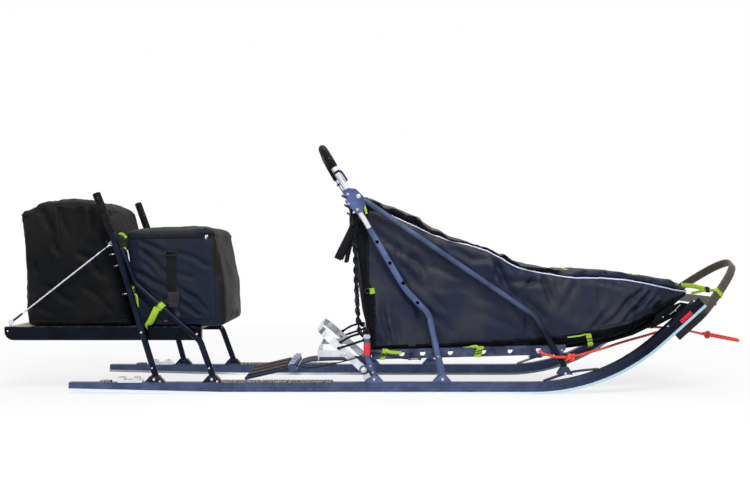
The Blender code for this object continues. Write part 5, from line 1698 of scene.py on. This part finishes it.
def tongue():
    """Rubber tongue from the brake's shaft to the mat's clamp."""
    turns = [math.radians(-140 + 230 * step / 11) for step in range(12)]
    path = [at(1.445 + 0.0106 * math.cos(turn), 0, 0.093 + 0.0106 * math.sin(turn)) for turn in turns]
    path += smooth_path(on_side(1, (1.436, 0, 0.1038), (1.4, 0, 0.1075), (1.344, 0, 0.1115), (1.227, 0, 0.106),
                                (1.1785, 0, 0.094)), 0.006)
    half = [(-0.075, -0.0028), (-0.074, -0.003)] + [(-0.06 + 0.012 * k, -0.003) for k in range(11)]
    half += [(0.074, -0.003), (0.075, -0.0028)]
    shape = Shape()
    shape.sweep(path, half + [(-u, -v) for u, v in half],
                [Y_WAY.cross(way_at(path, k)).normalized() for k in range(len(path))])
    obj = show("mat_tongue_rubber", shape.done("tongue", 40), MAT_RUBBER, None)
    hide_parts("mat_tongue")
    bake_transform(obj)


def mat_details():
    """Ribs moulded across the mat, and the bolts of its clamp."""
    front, back = at(1.166, 0, 0.0925), at(0.955, 0, 0.044)
    slope = front - back
    mat_frame = Matrix.Translation(front) @ Matrix.Rotation(-math.atan2(slope.z, slope.x), 4, "Y")
    shape = Shape()
    row = -0.05
    while row > 0.016 - slope.length:
        for across in (middle + shift for middle in (-0.104, 0.0, 0.104) for shift in (-0.0172, 0.0, 0.0172)):
            shape.grid([[mat_frame @ Vector((row + x * a, across + y * b, 0.0119 + z))
                         for x, y in ((-1, -1), (1, -1), (1, 1), (-1, 1))]
                        for a, b, z in ((0.0032, 0.008, -0.001), (0.003, 0.0078, 0.0012), (0.0018, 0.0066, 0.0022))])
        row -= 0.0105
    show("mat_lugs", shape.done("mat_lugs", 30), MAT_RIB, "mat")
    bolts = [mat_frame @ Vector((-0.015, y, 0.0173)) for y in (-0.15, -0.075, 0.0, 0.075, 0.15)]
    mesh = grown("mat_clamp_bolts", SET_FITTINGS, bolts, [mat_frame.to_3x3() @ Z_WAY] * 5, HEX_BOLT, CHROME_METAL)
    show("mat_clamp_bolts", mesh, None, "mat")


tongue()
mat_details()


def elastic_cords():
    """Elastic cords that lift the brake, and the cord that lifts the mat."""
    for side, sign in SIDES:
        for name, rows in (
            ("upper", ((1.452, 0.236, 0.238), (1.438, 0.235, 0.24), (1.39, 0.233, 0.226), (1.352, 0.229, 0.2035))),
            ("lower", ((1.452, 0.236, 0.214), (1.438, 0.235, 0.21), (1.39, 0.233, 0.194), (1.345, 0.229, 0.179))),
        ):
            shape = Shape()
            points = on_side(sign, *rows)
            rope_run(shape, sign, rows, 0.0052, 4, 0.02, 0.003)
            shape.block(points[-1], (0.014, 0.01, 0.01), Matrix.Rotation(0.5, 3, "Y"), 0.002)
            obj = show(f"brake_elastic_{name}_{side}", shape.done("elastic", 70), BLACK_ROPE, None)
            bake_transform(obj)
    shape = Shape()
    points = on_side(-1, (1.447, 0.244, 0.157), (1.4, 0.244, 0.138), (1.29, 0.244, 0.112), (1.222, 0.244, 0.102),
                     (1.184, 0.205, 0.102), (1.166, 0.16, 0.104))
    twisted_rope(shape, smooth_path(points, 0.004), 0.0026, 3, 0.016)
    obj = show("mat_lift_cord", shape.done("lift_cord", 70), BLACK_ROPE, None)
    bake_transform(obj)


elastic_cords()


# Fasteners, straps and small fittings

def frame_fasteners():
    """Bolts, rivets, washers, and dark discs of painted shade in the tube holes, by rows for the near side."""
    for name, fitting, rows, *looks in (
        ("foot_bolts", HEX_BOLT, (
            (0.61, 0.2664, 0.06, 0.8), (0.84, 0.2664, 0.06, 0.8), (1.486, 0.2664, 0.06, 0.8),
            (1.759, 0.2664, 0.06, 0.8), (0.634, 0.2664, 0.0525, 0.6), (0.862, 0.2664, 0.0525, 0.6),
            (2.248, 0.2664, 0.083, 0.7))),
        ("leg_bolts", CAP_SCREW, (
            (0.6011, 0.2577, 0.104, 0.8), (0.829, 0.2625, 0.104, 0.8), (0.5599, 0.2655, 0.247, 0.95),
            (0.78, 0.2605, 0.24, 0.95), (1.4717, 0.2625, 0.113, 0.7), (1.481, 0.2625, 0.0876, 0.7),
            (1.7419, 0.2642, 0.151, 0.75), (2.234, 0.2616, 0.176, 0.75))),
        ("gusset_bolts", HEX_BOLT, ((1.3816, 0.268, 0.797, 0.75), (1.4201, 0.268, 0.7366, 0.75),
                                    (1.4054, 0.268, 0.7246, 0.65), (1.3844, 0.268, 0.7584, 0.65))),
        ("gusset_washer", BROAD_WASHER, ((1.424, 0.2681, 0.7894, 1.0),)),
        ("pivot_washer", BROAD_WASHER, ((1.445, 0.2358, 0.093, 1.0),)),
        # Holes in the stanchion, drawn as dark discs of painted shade.
        ("stanchion_holes", SHADED_HOLE, ((1.4985, 0.2651, 0.607, 1.6), (1.549, 0.2651, 0.523, 1.6),
                                        (1.602, 0.2651, 0.443, 1.6), (1.659, 0.2651, 0.365, 1.6)),
         HOLE_SHADE, "black_plastic"),
        ("basket_rivets", DOME_RIVET, ((1.475, 0.2348, 0.1475, 0.9), (1.745, 0.2348, 0.1535, 0.9),
                                       (2.215, 0.2348, 0.163, 0.9))),
        ("platform_rivets", DOME_RIVET, ((0.0134, 0.2336, 0.249, 0.7),)),
        ("nose_bolts", HEX_BOLT, ((2.76, 0.2652, 0.372, 0.5), (2.656, 0.2652, 0.272, 0.5))),
        ("brake_rivets", DOME_RIVET, ((1.351, 0.229, 0.153, 0.9), (1.368, 0.229, 0.1545, 0.9),
                                      (1.29, 0.229, 0.234, 0.8)), CHROME_METAL, "silver", "brake"),
    ):
        set_both_sides(name, fitting, rows, *looks)


def pad_and_clamp_screws():
    """Screws sunk in the foot pads, and the sockets of the tail clamps."""
    for name, stations, height, fitting, size in (
        ("pad_screws", (0.915, 1.035, 1.155, 1.285, 0.402, 0.426), 0.053, DOME_RIVET, 0.8),
        ("clamp_screws", (0.4785, 0.5385), 0.0671, CAP_SCREW, 1.0),
    ):
        places = [at(s, y, height) for y in (-HALF, HALF) for s in stations]
        count = len(places)
        mesh = grown(name, SET_FITTINGS, places, [Z_WAY] * count, fitting, CHROME_METAL, [size] * count)
        show(name, mesh, None, "sled")


def stanchion_caps():
    """Steel fork on each rear stanchion, the red tape below it and the clamp block by the pivot."""
    for side, sign in SIDES:
        shape = Shape()
        y = sign * HALF
        shape.sweep([at(1.458, y, z) for z in (0.2215, 0.2225, 0.23, 0.2375, 0.2385)], disc(0.0148, 24))
        for station in (1.4495, 1.4665):
            for outs, radius, count in (((0.26, 0.2665, 0.269), 0.0052, 6), ((0.26, 0.2705), 0.0026, 12)):
                shape.sweep([at(station, sign * out, 0.2305) for out in outs], disc(radius, count), Z_WAY)
        blocks(shape, at(1.456, 0, 0.072), sign, (((0, 0.269, 0), (0.03, 0.006, 0.018), 0.0012),
                                                    ((0.003, 0.2735, -0.0015), (0.01, 0.0055, 0.01), 0.0008)),
               Matrix.Rotation(-0.5, 3, "Y"))
        show(f"stanchion_fork_{side}", shape.done("fork"), CHROME_METAL, "sled")
        shape = Shape()
        heights = [0.155] + [0.156 + 0.046 * k / 12 for k in range(13)] + [0.203]
        radii = [0.0142 + 0.00018 * math.sin(index * 2.1) for index in range(15)]
        radii[0] = radii[-1] = 0.0137
        shape.grid([[at(1.458 + u, y + v, z) for u, v in disc(radius, TUBE_SIDES)]
                    for radius, z in zip(radii, heights)])
        tape = RED_TAPE if sign < 0 else BLACK_PLASTIC
        show(f"stanchion_tape_{side}", shape.done("tape"), tape, "sled")


def gusset_levers():
    """Two small clamp levers on each gusset and the webbing tab on the handlebar."""
    turn = Matrix.Rotation(math.radians(28), 3, "Y")
    tube_way = axis_point(1.0) - axis_point(0.0)
    for side, sign in SIDES:
        shape = Shape()
        for s, z in ((1.366, 0.787), (1.379, 0.748)):
            shape.block(at(s, sign * 0.2725, z), (0.022, 0.007, 0.0085), turn, 0.0024)
            shape.sweep([at(s + 0.008, sign * d, z - 0.003) for d in (0.262, 0.2775, 0.279)], disc(0.004, 12), Z_WAY)
        show(f"gusset_levers_{side}", shape.done("levers"), BLACK_PLASTIC, "sled")
        shape = Shape()
        path = smooth_path([axis_point(reach, sign * 0.252, rise) for reach, rise in (
            (0.42, 0.013), (0.412, 0.017), (0.4, 0.0185), (0.385, 0.019), (0.369, 0.0185))], 0.005)
        shape.sweep(path, flat_strap(0.0085, STRAP), Y_WAY * sign)
        tube_wrap(shape, axis_point(0.42, sign * HALF), tube_way, 0.0128, 0.01)
        show(f"handle_tab_{side}", shape.done("tab", 50), SLATE_WEBBING, "handlebar")
        # Hole in the handlebar tube, drawn as a dark disc of painted shade.
        mesh = grown(f"handle_holes_{side}", SET_FITTINGS,
                     [axis_point(0.4035, sign * 0.2624)], [Y_WAY * sign], SHADED_HOLE, HOLE_SHADE, [0.7])
        show(f"handle_holes_{side}", mesh, None, "handlebar")


def leg_ties():
    """Threaded rods that tie the two seat legs together, with nuts and spacers."""
    for side, sign in SIDES:
        shape, nuts = Shape(), Shape()
        for (s0, z0), (s1, z1) in (((0.4357, 0.5554), (0.4777, 0.5686)), ((0.4513, 0.5098), (0.4917, 0.5238)),
                                   ((0.4869, 0.397), (0.5277, 0.4114))):
            rear, front = on_side(sign, (s0, 0.264, z0), (s1, 0.247, z1))
            along = (front - rear).normalized()
            shape.sweep([rear, front], disc(0.002, 12))
            for share, length, radius in ((0.03, 0.004, 0.004408), (0.5, 0.007, 0.004256), (0.97, 0.004, 0.004408)):
                middle = rear.lerp(front, share)
                nuts.sweep([middle + along * shift for shift in (-length, 0.0008 - length, length - 0.0008, length)],
                           disc(radius, 6))
        show(f"leg_ties_{side}", shape.done("ties", 30), CHROME_METAL, "sled")
        show(f"leg_tie_nuts_{side}", nuts.done("tie_nuts", 30), DARK_TUBE_METAL, "sled")


def seat_straps():
    """Lime straps that tie the seat bags to the legs."""
    leg_way = at(0.53, 0, 0.44) - at(0.79, 0, 0.212)
    tilt = Matrix.Rotation(0.4, 3, "Y")
    for side, sign in SIDES:
        centre = at(0.633, sign * 0.245, 0.3497)
        shape = Shape()
        tube_wrap(shape, centre, leg_way, 0.0138, 0.026)
        path = smooth_path(on_side(sign, (0.623, 0.2615, 0.3457), (0.612, 0.26, 0.325), (0.594, 0.25, 0.293),
                                   (0.576, 0.24, 0.27), (0.568, 0.226, 0.2665)), 0.005)
        shares = [k / len(path) for k in range(len(path))]
        facing = [Vector((0.35 + 0.9 * t ** 2, sign * (1 - 0.7 * t ** 2), 0.1 + 0.5 * t)) for t in shares]
        shape.sweep(path, flat_strap(0.026, STRAP), facing)
        for line, width in (
            (((0.464, 0.637), (0.476, 0.64), (0.485, 0.633), (0.493, 0.623)), 0.011),
            (((0.4716, 0.596), (0.483, 0.588), (0.493, 0.578)), 0.006),
            (((0.524, 0.43), (0.518, 0.418)), 0.011),
            (((0.527, 0.399), (0.534, 0.392), (0.538, 0.368), (0.539, 0.346)), 0.009),
        ):
            strap_run(shape, sign, [(s, 0.245, z) for s, z in line], width, (0.15, sign, 0.15), 0.004)
        show(f"seat_lime_straps_{side}", shape.done("lime_straps", 50), LIME_WEBBING, "sled")
        shape = Shape()
        tube_wrap(shape, centre + leg_way.normalized() * 0.0145, leg_way, 0.015, 0.0065, 0.0026)
        shape.block(at(0.479, sign * 0.266, 0.628), (0.024, 0.006, 0.014), tilt, 0.0018)
        strap_run(shape, sign, ((0.47, 0.25, 0.623), (0.479, 0.248, 0.602), (0.488, 0.244, 0.585)), 0.02,
                  (0.3, sign, 0), 0.004)
        for s, z in ((0.4262, 0.607), (0.446, 0.613), (0.454, 0.636)):
            shape.block(at(s, sign * 0.279, z), (0.007, 0.006, 0.008), tilt, 0.0015)
        show(f"seat_strap_keepers_{side}", shape.done("keepers", 40), BLACK_PLASTIC, "sled")
        shape = Shape()
        strap_run(shape, sign, ((0.496, 0.243, 0.576), (0.502, 0.243, 0.556), (0.505, 0.243, 0.528)), 0.0045,
                  (0.15, sign, 0), 0.004, 0.0016)
        show(f"seat_strap_hem_{side}", shape.done("hem", 50), STAY_SLEEVE, "sled")


def wire_stays():
    """Stay from the platform's tail to each post: ring, wire, padded sleeve, hook and shackle."""
    for side, sign in SIDES:
        low, high = on_side(sign, (0.018, 0.222, 0.28), (0.444, 0.2715, 0.602))
        along = (high - low).normalized()
        side_way = along.cross(Y_WAY).normalized()

        def on_stay(*shares):
            return [low.lerp(high, share) for share in shares]

        shape = Shape()
        shape.sweep(on_stay(0.0, 0.5, 1.0), disc(0.0017, 10))
        for share, size, thick, turn in ((0.01, 0.0085, 0.0018, 0.3), (0.965, 0.008, 0.0019, 1.2),
                                         (0.99, 0.0075, 0.0017, 0.2)):
            lean = (side_way * math.cos(turn) + Y_WAY * math.sin(turn)).normalized()
            track = oval(on_stay(share)[0], along * 1.25 * size, lean * size, 24)
            hoop(shape, *track, along.cross(lean).normalized(), disc(thick, 8))
        shape.sweep([at(0.018, sign * 0.222, z) for z in (0.264, 0.27, 0.276)], disc(0.0048, 12))
        for start in (0.15, 0.85):
            shape.sweep(on_stay(start, start + 0.005, start + 0.035, start + 0.04), disc(0.0034, 12))
        show(f"stay_wire_{side}", shape.done("stay"), CHROME_METAL, "sled", [f"seat_stay_{side}"])
        shape = Shape()
        shape.sweep(on_stay(0.035, 0.045, 0.115, 0.12), disc(0.0042, 14))
        show(f"stay_grip_{side}", shape.done("stay_grip"), BLACK_PLASTIC, "sled")
        shape = Shape()
        path = even_path(on_stay(0.19, 0.84), 0.012)
        radii = [0.0029 + 0.0002 * math.sin(index * 1.7) for index in range(len(path))]
        radii[0] -= 0.0009
        radii[-1] -= 0.0009
        up = side_way.cross(along)
        shape.grid([[place + side_way * u + up * v for u, v in disc(radius, 12)] for place, radius in zip(path, radii)])
        show(f"stay_sleeve_{side}", shape.done("sleeve", 60), STAY_SLEEVE, "sled")


def basket_straps():
    """Lime straps with black keepers that tie the cargo bag down to the basket rails."""
    outer, inner = 0.2362, 0.2108
    middle = (outer + inner) / 2
    for side, sign in SIDES:
        lime, black = Shape(), Shape()
        for station, slant, width in ((1.5255, -0.012, 0.02), (1.908, -0.014, 0.027)):
            low = rail_low(station)
            high = low + 0.038
            corners = ((outer, low - 0.0014), (outer, (low + high) / 2), (outer, high + 0.0014),
                       (middle, high + 0.0024), (inner, high + 0.0014), (inner, low - 0.0014), (middle, low - 0.0018))
            loop = on_side(sign, *[(station + slant * (0.5 - (z - low) / (high - low)), y, z) for y, z in corners])
            centre = sum(loop, Vector()) / len(loop)
            track = even_path(loop + [loop[0]], 0.006)[:-1]
            outs = [Vector((0, place.y - centre.y, place.z - centre.z)).normalized() for place in track]
            hoop(lime, track, outs, X_WAY, flat_strap(width, STRAP))
            for rise in (-0.0055, 0.0055):
                black.block(at(station - slant * 0.2 * rise / 0.0055, sign * 0.2385, (low + high) / 2 + rise),
                            (width + 0.003, 0.0034, 0.003), Matrix.Rotation(math.radians(-14), 3, "Y"), 0.001)
        for rows, width in (
            (((1.524, 0.2385, 0.164), (1.536, 0.24, 0.17), (1.556, 0.2405, 0.165), (1.597, 0.24, 0.163)), 0.013),
            (((1.905, 0.238, 0.178), (1.899, 0.237, 0.188), (1.882, 0.233, 0.186), (1.864, 0.23, 0.181),
              (1.844, 0.227, 0.178)), 0.011),
            (((2.3545, 0.2145, 0.235), (2.3575, 0.2165, 0.22), (2.361, 0.2165, 0.202), (2.3635, 0.215, 0.19),
              (2.364, 0.2, 0.183)), 0.022),
            (((2.362, 0.216, 0.2345), (2.34, 0.217, 0.2335), (2.32, 0.2165, 0.2285), (2.27, 0.216, 0.222)), 0.006),
        ):
            strap_run(lime, sign, rows, width, (0, sign, 0.25))
        for z in (0.2172, 0.2072):
            black.block(at(2.359, sign * 0.2185, z), (0.025, 0.0034, 0.003), Matrix.Rotation(math.radians(-10), 3, "Y"),
                        0.001)
        show(f"basket_lime_straps_{side}", lime.done("lime_straps", 50), LIME_WEBBING, "sled")
        show(f"basket_keepers_{side}", black.done("keepers", 40), BLACK_PLASTIC, "sled")
        shape = Shape()
        rope_run(shape, sign, ((1.47, 0.2405, 0.163), (1.52, 0.242, 0.156), (1.575, 0.24, 0.144), (1.628, 0.239, 0.137),
                               (1.672, 0.239, 0.139), (1.684, 0.239, 0.15)), 0.0021, 3, 0.014)
        for s in (1.628, 1.668):
            shape.block(at(s, sign * 0.24, 0.136), (0.014, 0.005, 0.005), Matrix.Rotation(0.3, 3, "Y"), 0.0015)
        show(f"rail_cord_{side}", shape.done("rail_cord", 60), BLACK_ROPE, "sled")


def bag_tabs():
    """Loose black straps at the cargo bag's rear, lime tabs and rings on its sides."""
    for side, sign in SIDES:
        inwards = Y_WAY * -sign
        shape = Shape()
        for rows, width in (
            (((1.404, 0.205, 0.676), (1.396, 0.207, 0.655), (1.372, 0.209, 0.606), (1.352, 0.208, 0.566),
              (1.339, 0.206, 0.538)), 0.03),
            (((1.398, 0.19, 0.64), (1.392, 0.19, 0.612), (1.381, 0.192, 0.566), (1.372, 0.191, 0.524)), 0.014),
        ):
            strap_run(shape, sign, rows, width, (0.1, sign, 0.1), 0.006)
        show(f"bag_loose_straps_{side}", shape.done("loose_straps", 50), BLACK_WEBBING, "sled")
        shape = Shape()
        lay_strap(shape, cargo_tree, mirrored([(1.477, 0.421), (1.478, 0.41), (1.48, 0.3985)], sign), inwards,
                  0.0215, STRAP, 0.002)
        for s in (2.262, 2.548):
            hit = cargo_tree.ray_cast(at(s, sign * 0.178, 0.8), -Z_WAY)[0]
            moves = ((-0.012, sign * 0.004, 0.0105), (-0.002, 0, 0.004), (0.01, 0, 0.003), (0.016, 0, 0.002))
            path = smooth_path([hit + Vector(move) for move in moves], 0.003)
            shape.sweep(path, flat_strap(0.01, 0.0016), Vector((0, 0.4 * sign, 1)))
        strap_run(shape, sign, ((1.4465, 0.26, 0.757), (1.4515, 0.264, 0.738), (1.4565, 0.262, 0.719)), 0.009,
                  (0.2, sign, 0))
        show(f"bag_lime_tabs_{side}", shape.done("lime_tabs", 50), LIME_WEBBING, "sled")
        shape = Shape()
        centre = cargo_tree.ray_cast(at(1.459, sign * 0.5, 0.41), inwards)[0] + Y_WAY * sign * 0.004
        hoop(shape, *oval(centre, X_WAY * 0.0095, Z_WAY * 0.0095, 20), Y_WAY, disc(0.002, 8))
        show(f"bag_side_ring_{side}", shape.done("side_ring"), BLACK_PLASTIC, "sled")
        rear = mirrored([(s, z) for z, s in rear_band[:0:-1]] + [(1.495, 0.2)], sign)
        foot = [at(s, sign * (0.2 if s < 2.4 else 0.15), lookup(s, bed_line) + rise) for s, rise in foot_band[1:-1]]
        sewn_seam(f"cargo_seams_{side}", cargo_tree, [rear, foot], inwards)


def bed_cheeks():
    """Black corner plates where the bed sheet curls up at its front."""
    outline = [(2.606, 0.255), (2.667, 0.2874), (2.7278, 0.3178), (2.7603, 0.334), (2.77, 0.342), (2.77, 0.351),
               (2.7603, 0.358), (2.7278, 0.364), (2.6954, 0.352), (2.663, 0.334), (2.6265, 0.309)]
    for side, sign in SIDES:
        shape = Shape()
        shape.plate(outline, 0.0034, Matrix.Translation(at(0, sign * 0.215, 0)) @ UPRIGHT, 0.0008)
        show(f"bed_cheek_{side}", shape.done("cheek"), BED_PLASTIC, "sled")
    set_both_sides("bed_cheek_rivets", DOME_RIVET, ((2.656, 0.217, 0.3037, 0.8), (2.706, 0.217, 0.33, 0.8)))


def nose_straps():
    """Lime straps and buckles that hold the bag's nose to the bow, the steel wire and the bare red patch."""
    share, thick, wide = 0.78, 0.0078, 0.019
    ring = rounded_ring(thick, wide, 0.004, 28)
    patch_turn = Matrix.Rotation(-BOW_LIFT, 4, "Y") @ UPRIGHT
    patch_outline = [(-0.029, -0.008), (0.029, -0.008), (0.029, 0.008), (-0.029, 0.008)]
    for side, sign in SIDES:
        lime = Shape()
        for rows, width in (
            (((2.8, 0.05, 0.427), (2.815, 0.06, 0.4262), (2.84, 0.085, 0.4235), (2.858, 0.115, 0.417),
              (2.866, 0.132, 0.412)), 0.019),
            (((2.8354, 0.068, 0.393), (2.85, 0.1, 0.401), (2.864, 0.13, 0.4095)), 0.012),
            (((2.866, 0.13, 0.411), (2.872, 0.15, 0.4105), (2.88, 0.168, 0.4105), (2.888, 0.19, 0.409)), 0.012),
        ):
            path = smooth_path(on_side(sign, *rows), 0.005)
            facing = [Z_WAY.cross(way_at(path, k)).normalized() for k in range(len(path))]
            lime.sweep(path, flat_strap(width, STRAP), facing)
        centre = bow_point(bow_reach(share), sign * HALF * share)
        limb = (Y_WAY * sign * HALF - BOW_ALONG * 0.604 * share).normalized()
        side_way = limb.cross(BOW_ACROSS).normalized()
        track = [centre + side_way * u + BOW_ACROSS * v for u, v, _ in ring]
        outs = [(side_way * u / thick ** 2 + BOW_ACROSS * v / wide ** 2).normalized() for u, v, _ in ring]
        hoop(lime, track, outs, limb, flat_strap(0.02, STRAP))
        show(f"nose_lime_straps_{side}", lime.done("lime_straps", 50), LIME_WEBBING, "sled")
        black = Shape()
        turn = Matrix.Rotation(sign * 0.9, 3, "Z")
        bars = [((0.004 + shift * 0.4, 0.146 + shift, 0), (0.009, 0.0042, 0.021), 0.0012) for shift in (-0.006, 0.004)]
        bars.append(((0, 0.14, 0.012), (0.018, 0.004, 0.0035), 0.0012))
        blocks(black, at(2.866, 0, 0.4105), sign, bars, turn)
        show(f"nose_buckle_{side}", black.done("buckle"), BLACK_PLASTIC, "sled")
        wire = Shape()
        wire.sweep(smooth_path(on_side(sign, (2.668, 0.205, 0.302), (2.69, 0.222, 0.322), (2.716, 0.24, 0.356)), 0.005),
                   disc(0.0013, 8))
        show(f"nose_wire_{side}", wire.done("wire"), CHROME_METAL, "sled")
        patch = Shape()
        patch.plate(patch_outline, 0.0008, Matrix.Translation(at(2.7285, sign * 0.2656, 0.3078)) @ patch_turn, 0.0002)
        show(f"nose_patch_{side}", patch.done("patch"), STICKER_RED, "sled")


frame_fasteners()
pad_and_clamp_screws()
stanchion_caps()
gusset_levers()
leg_ties()
seat_straps()
wire_stays()
basket_straps()
bag_tabs()
bed_cheeks()
nose_straps()
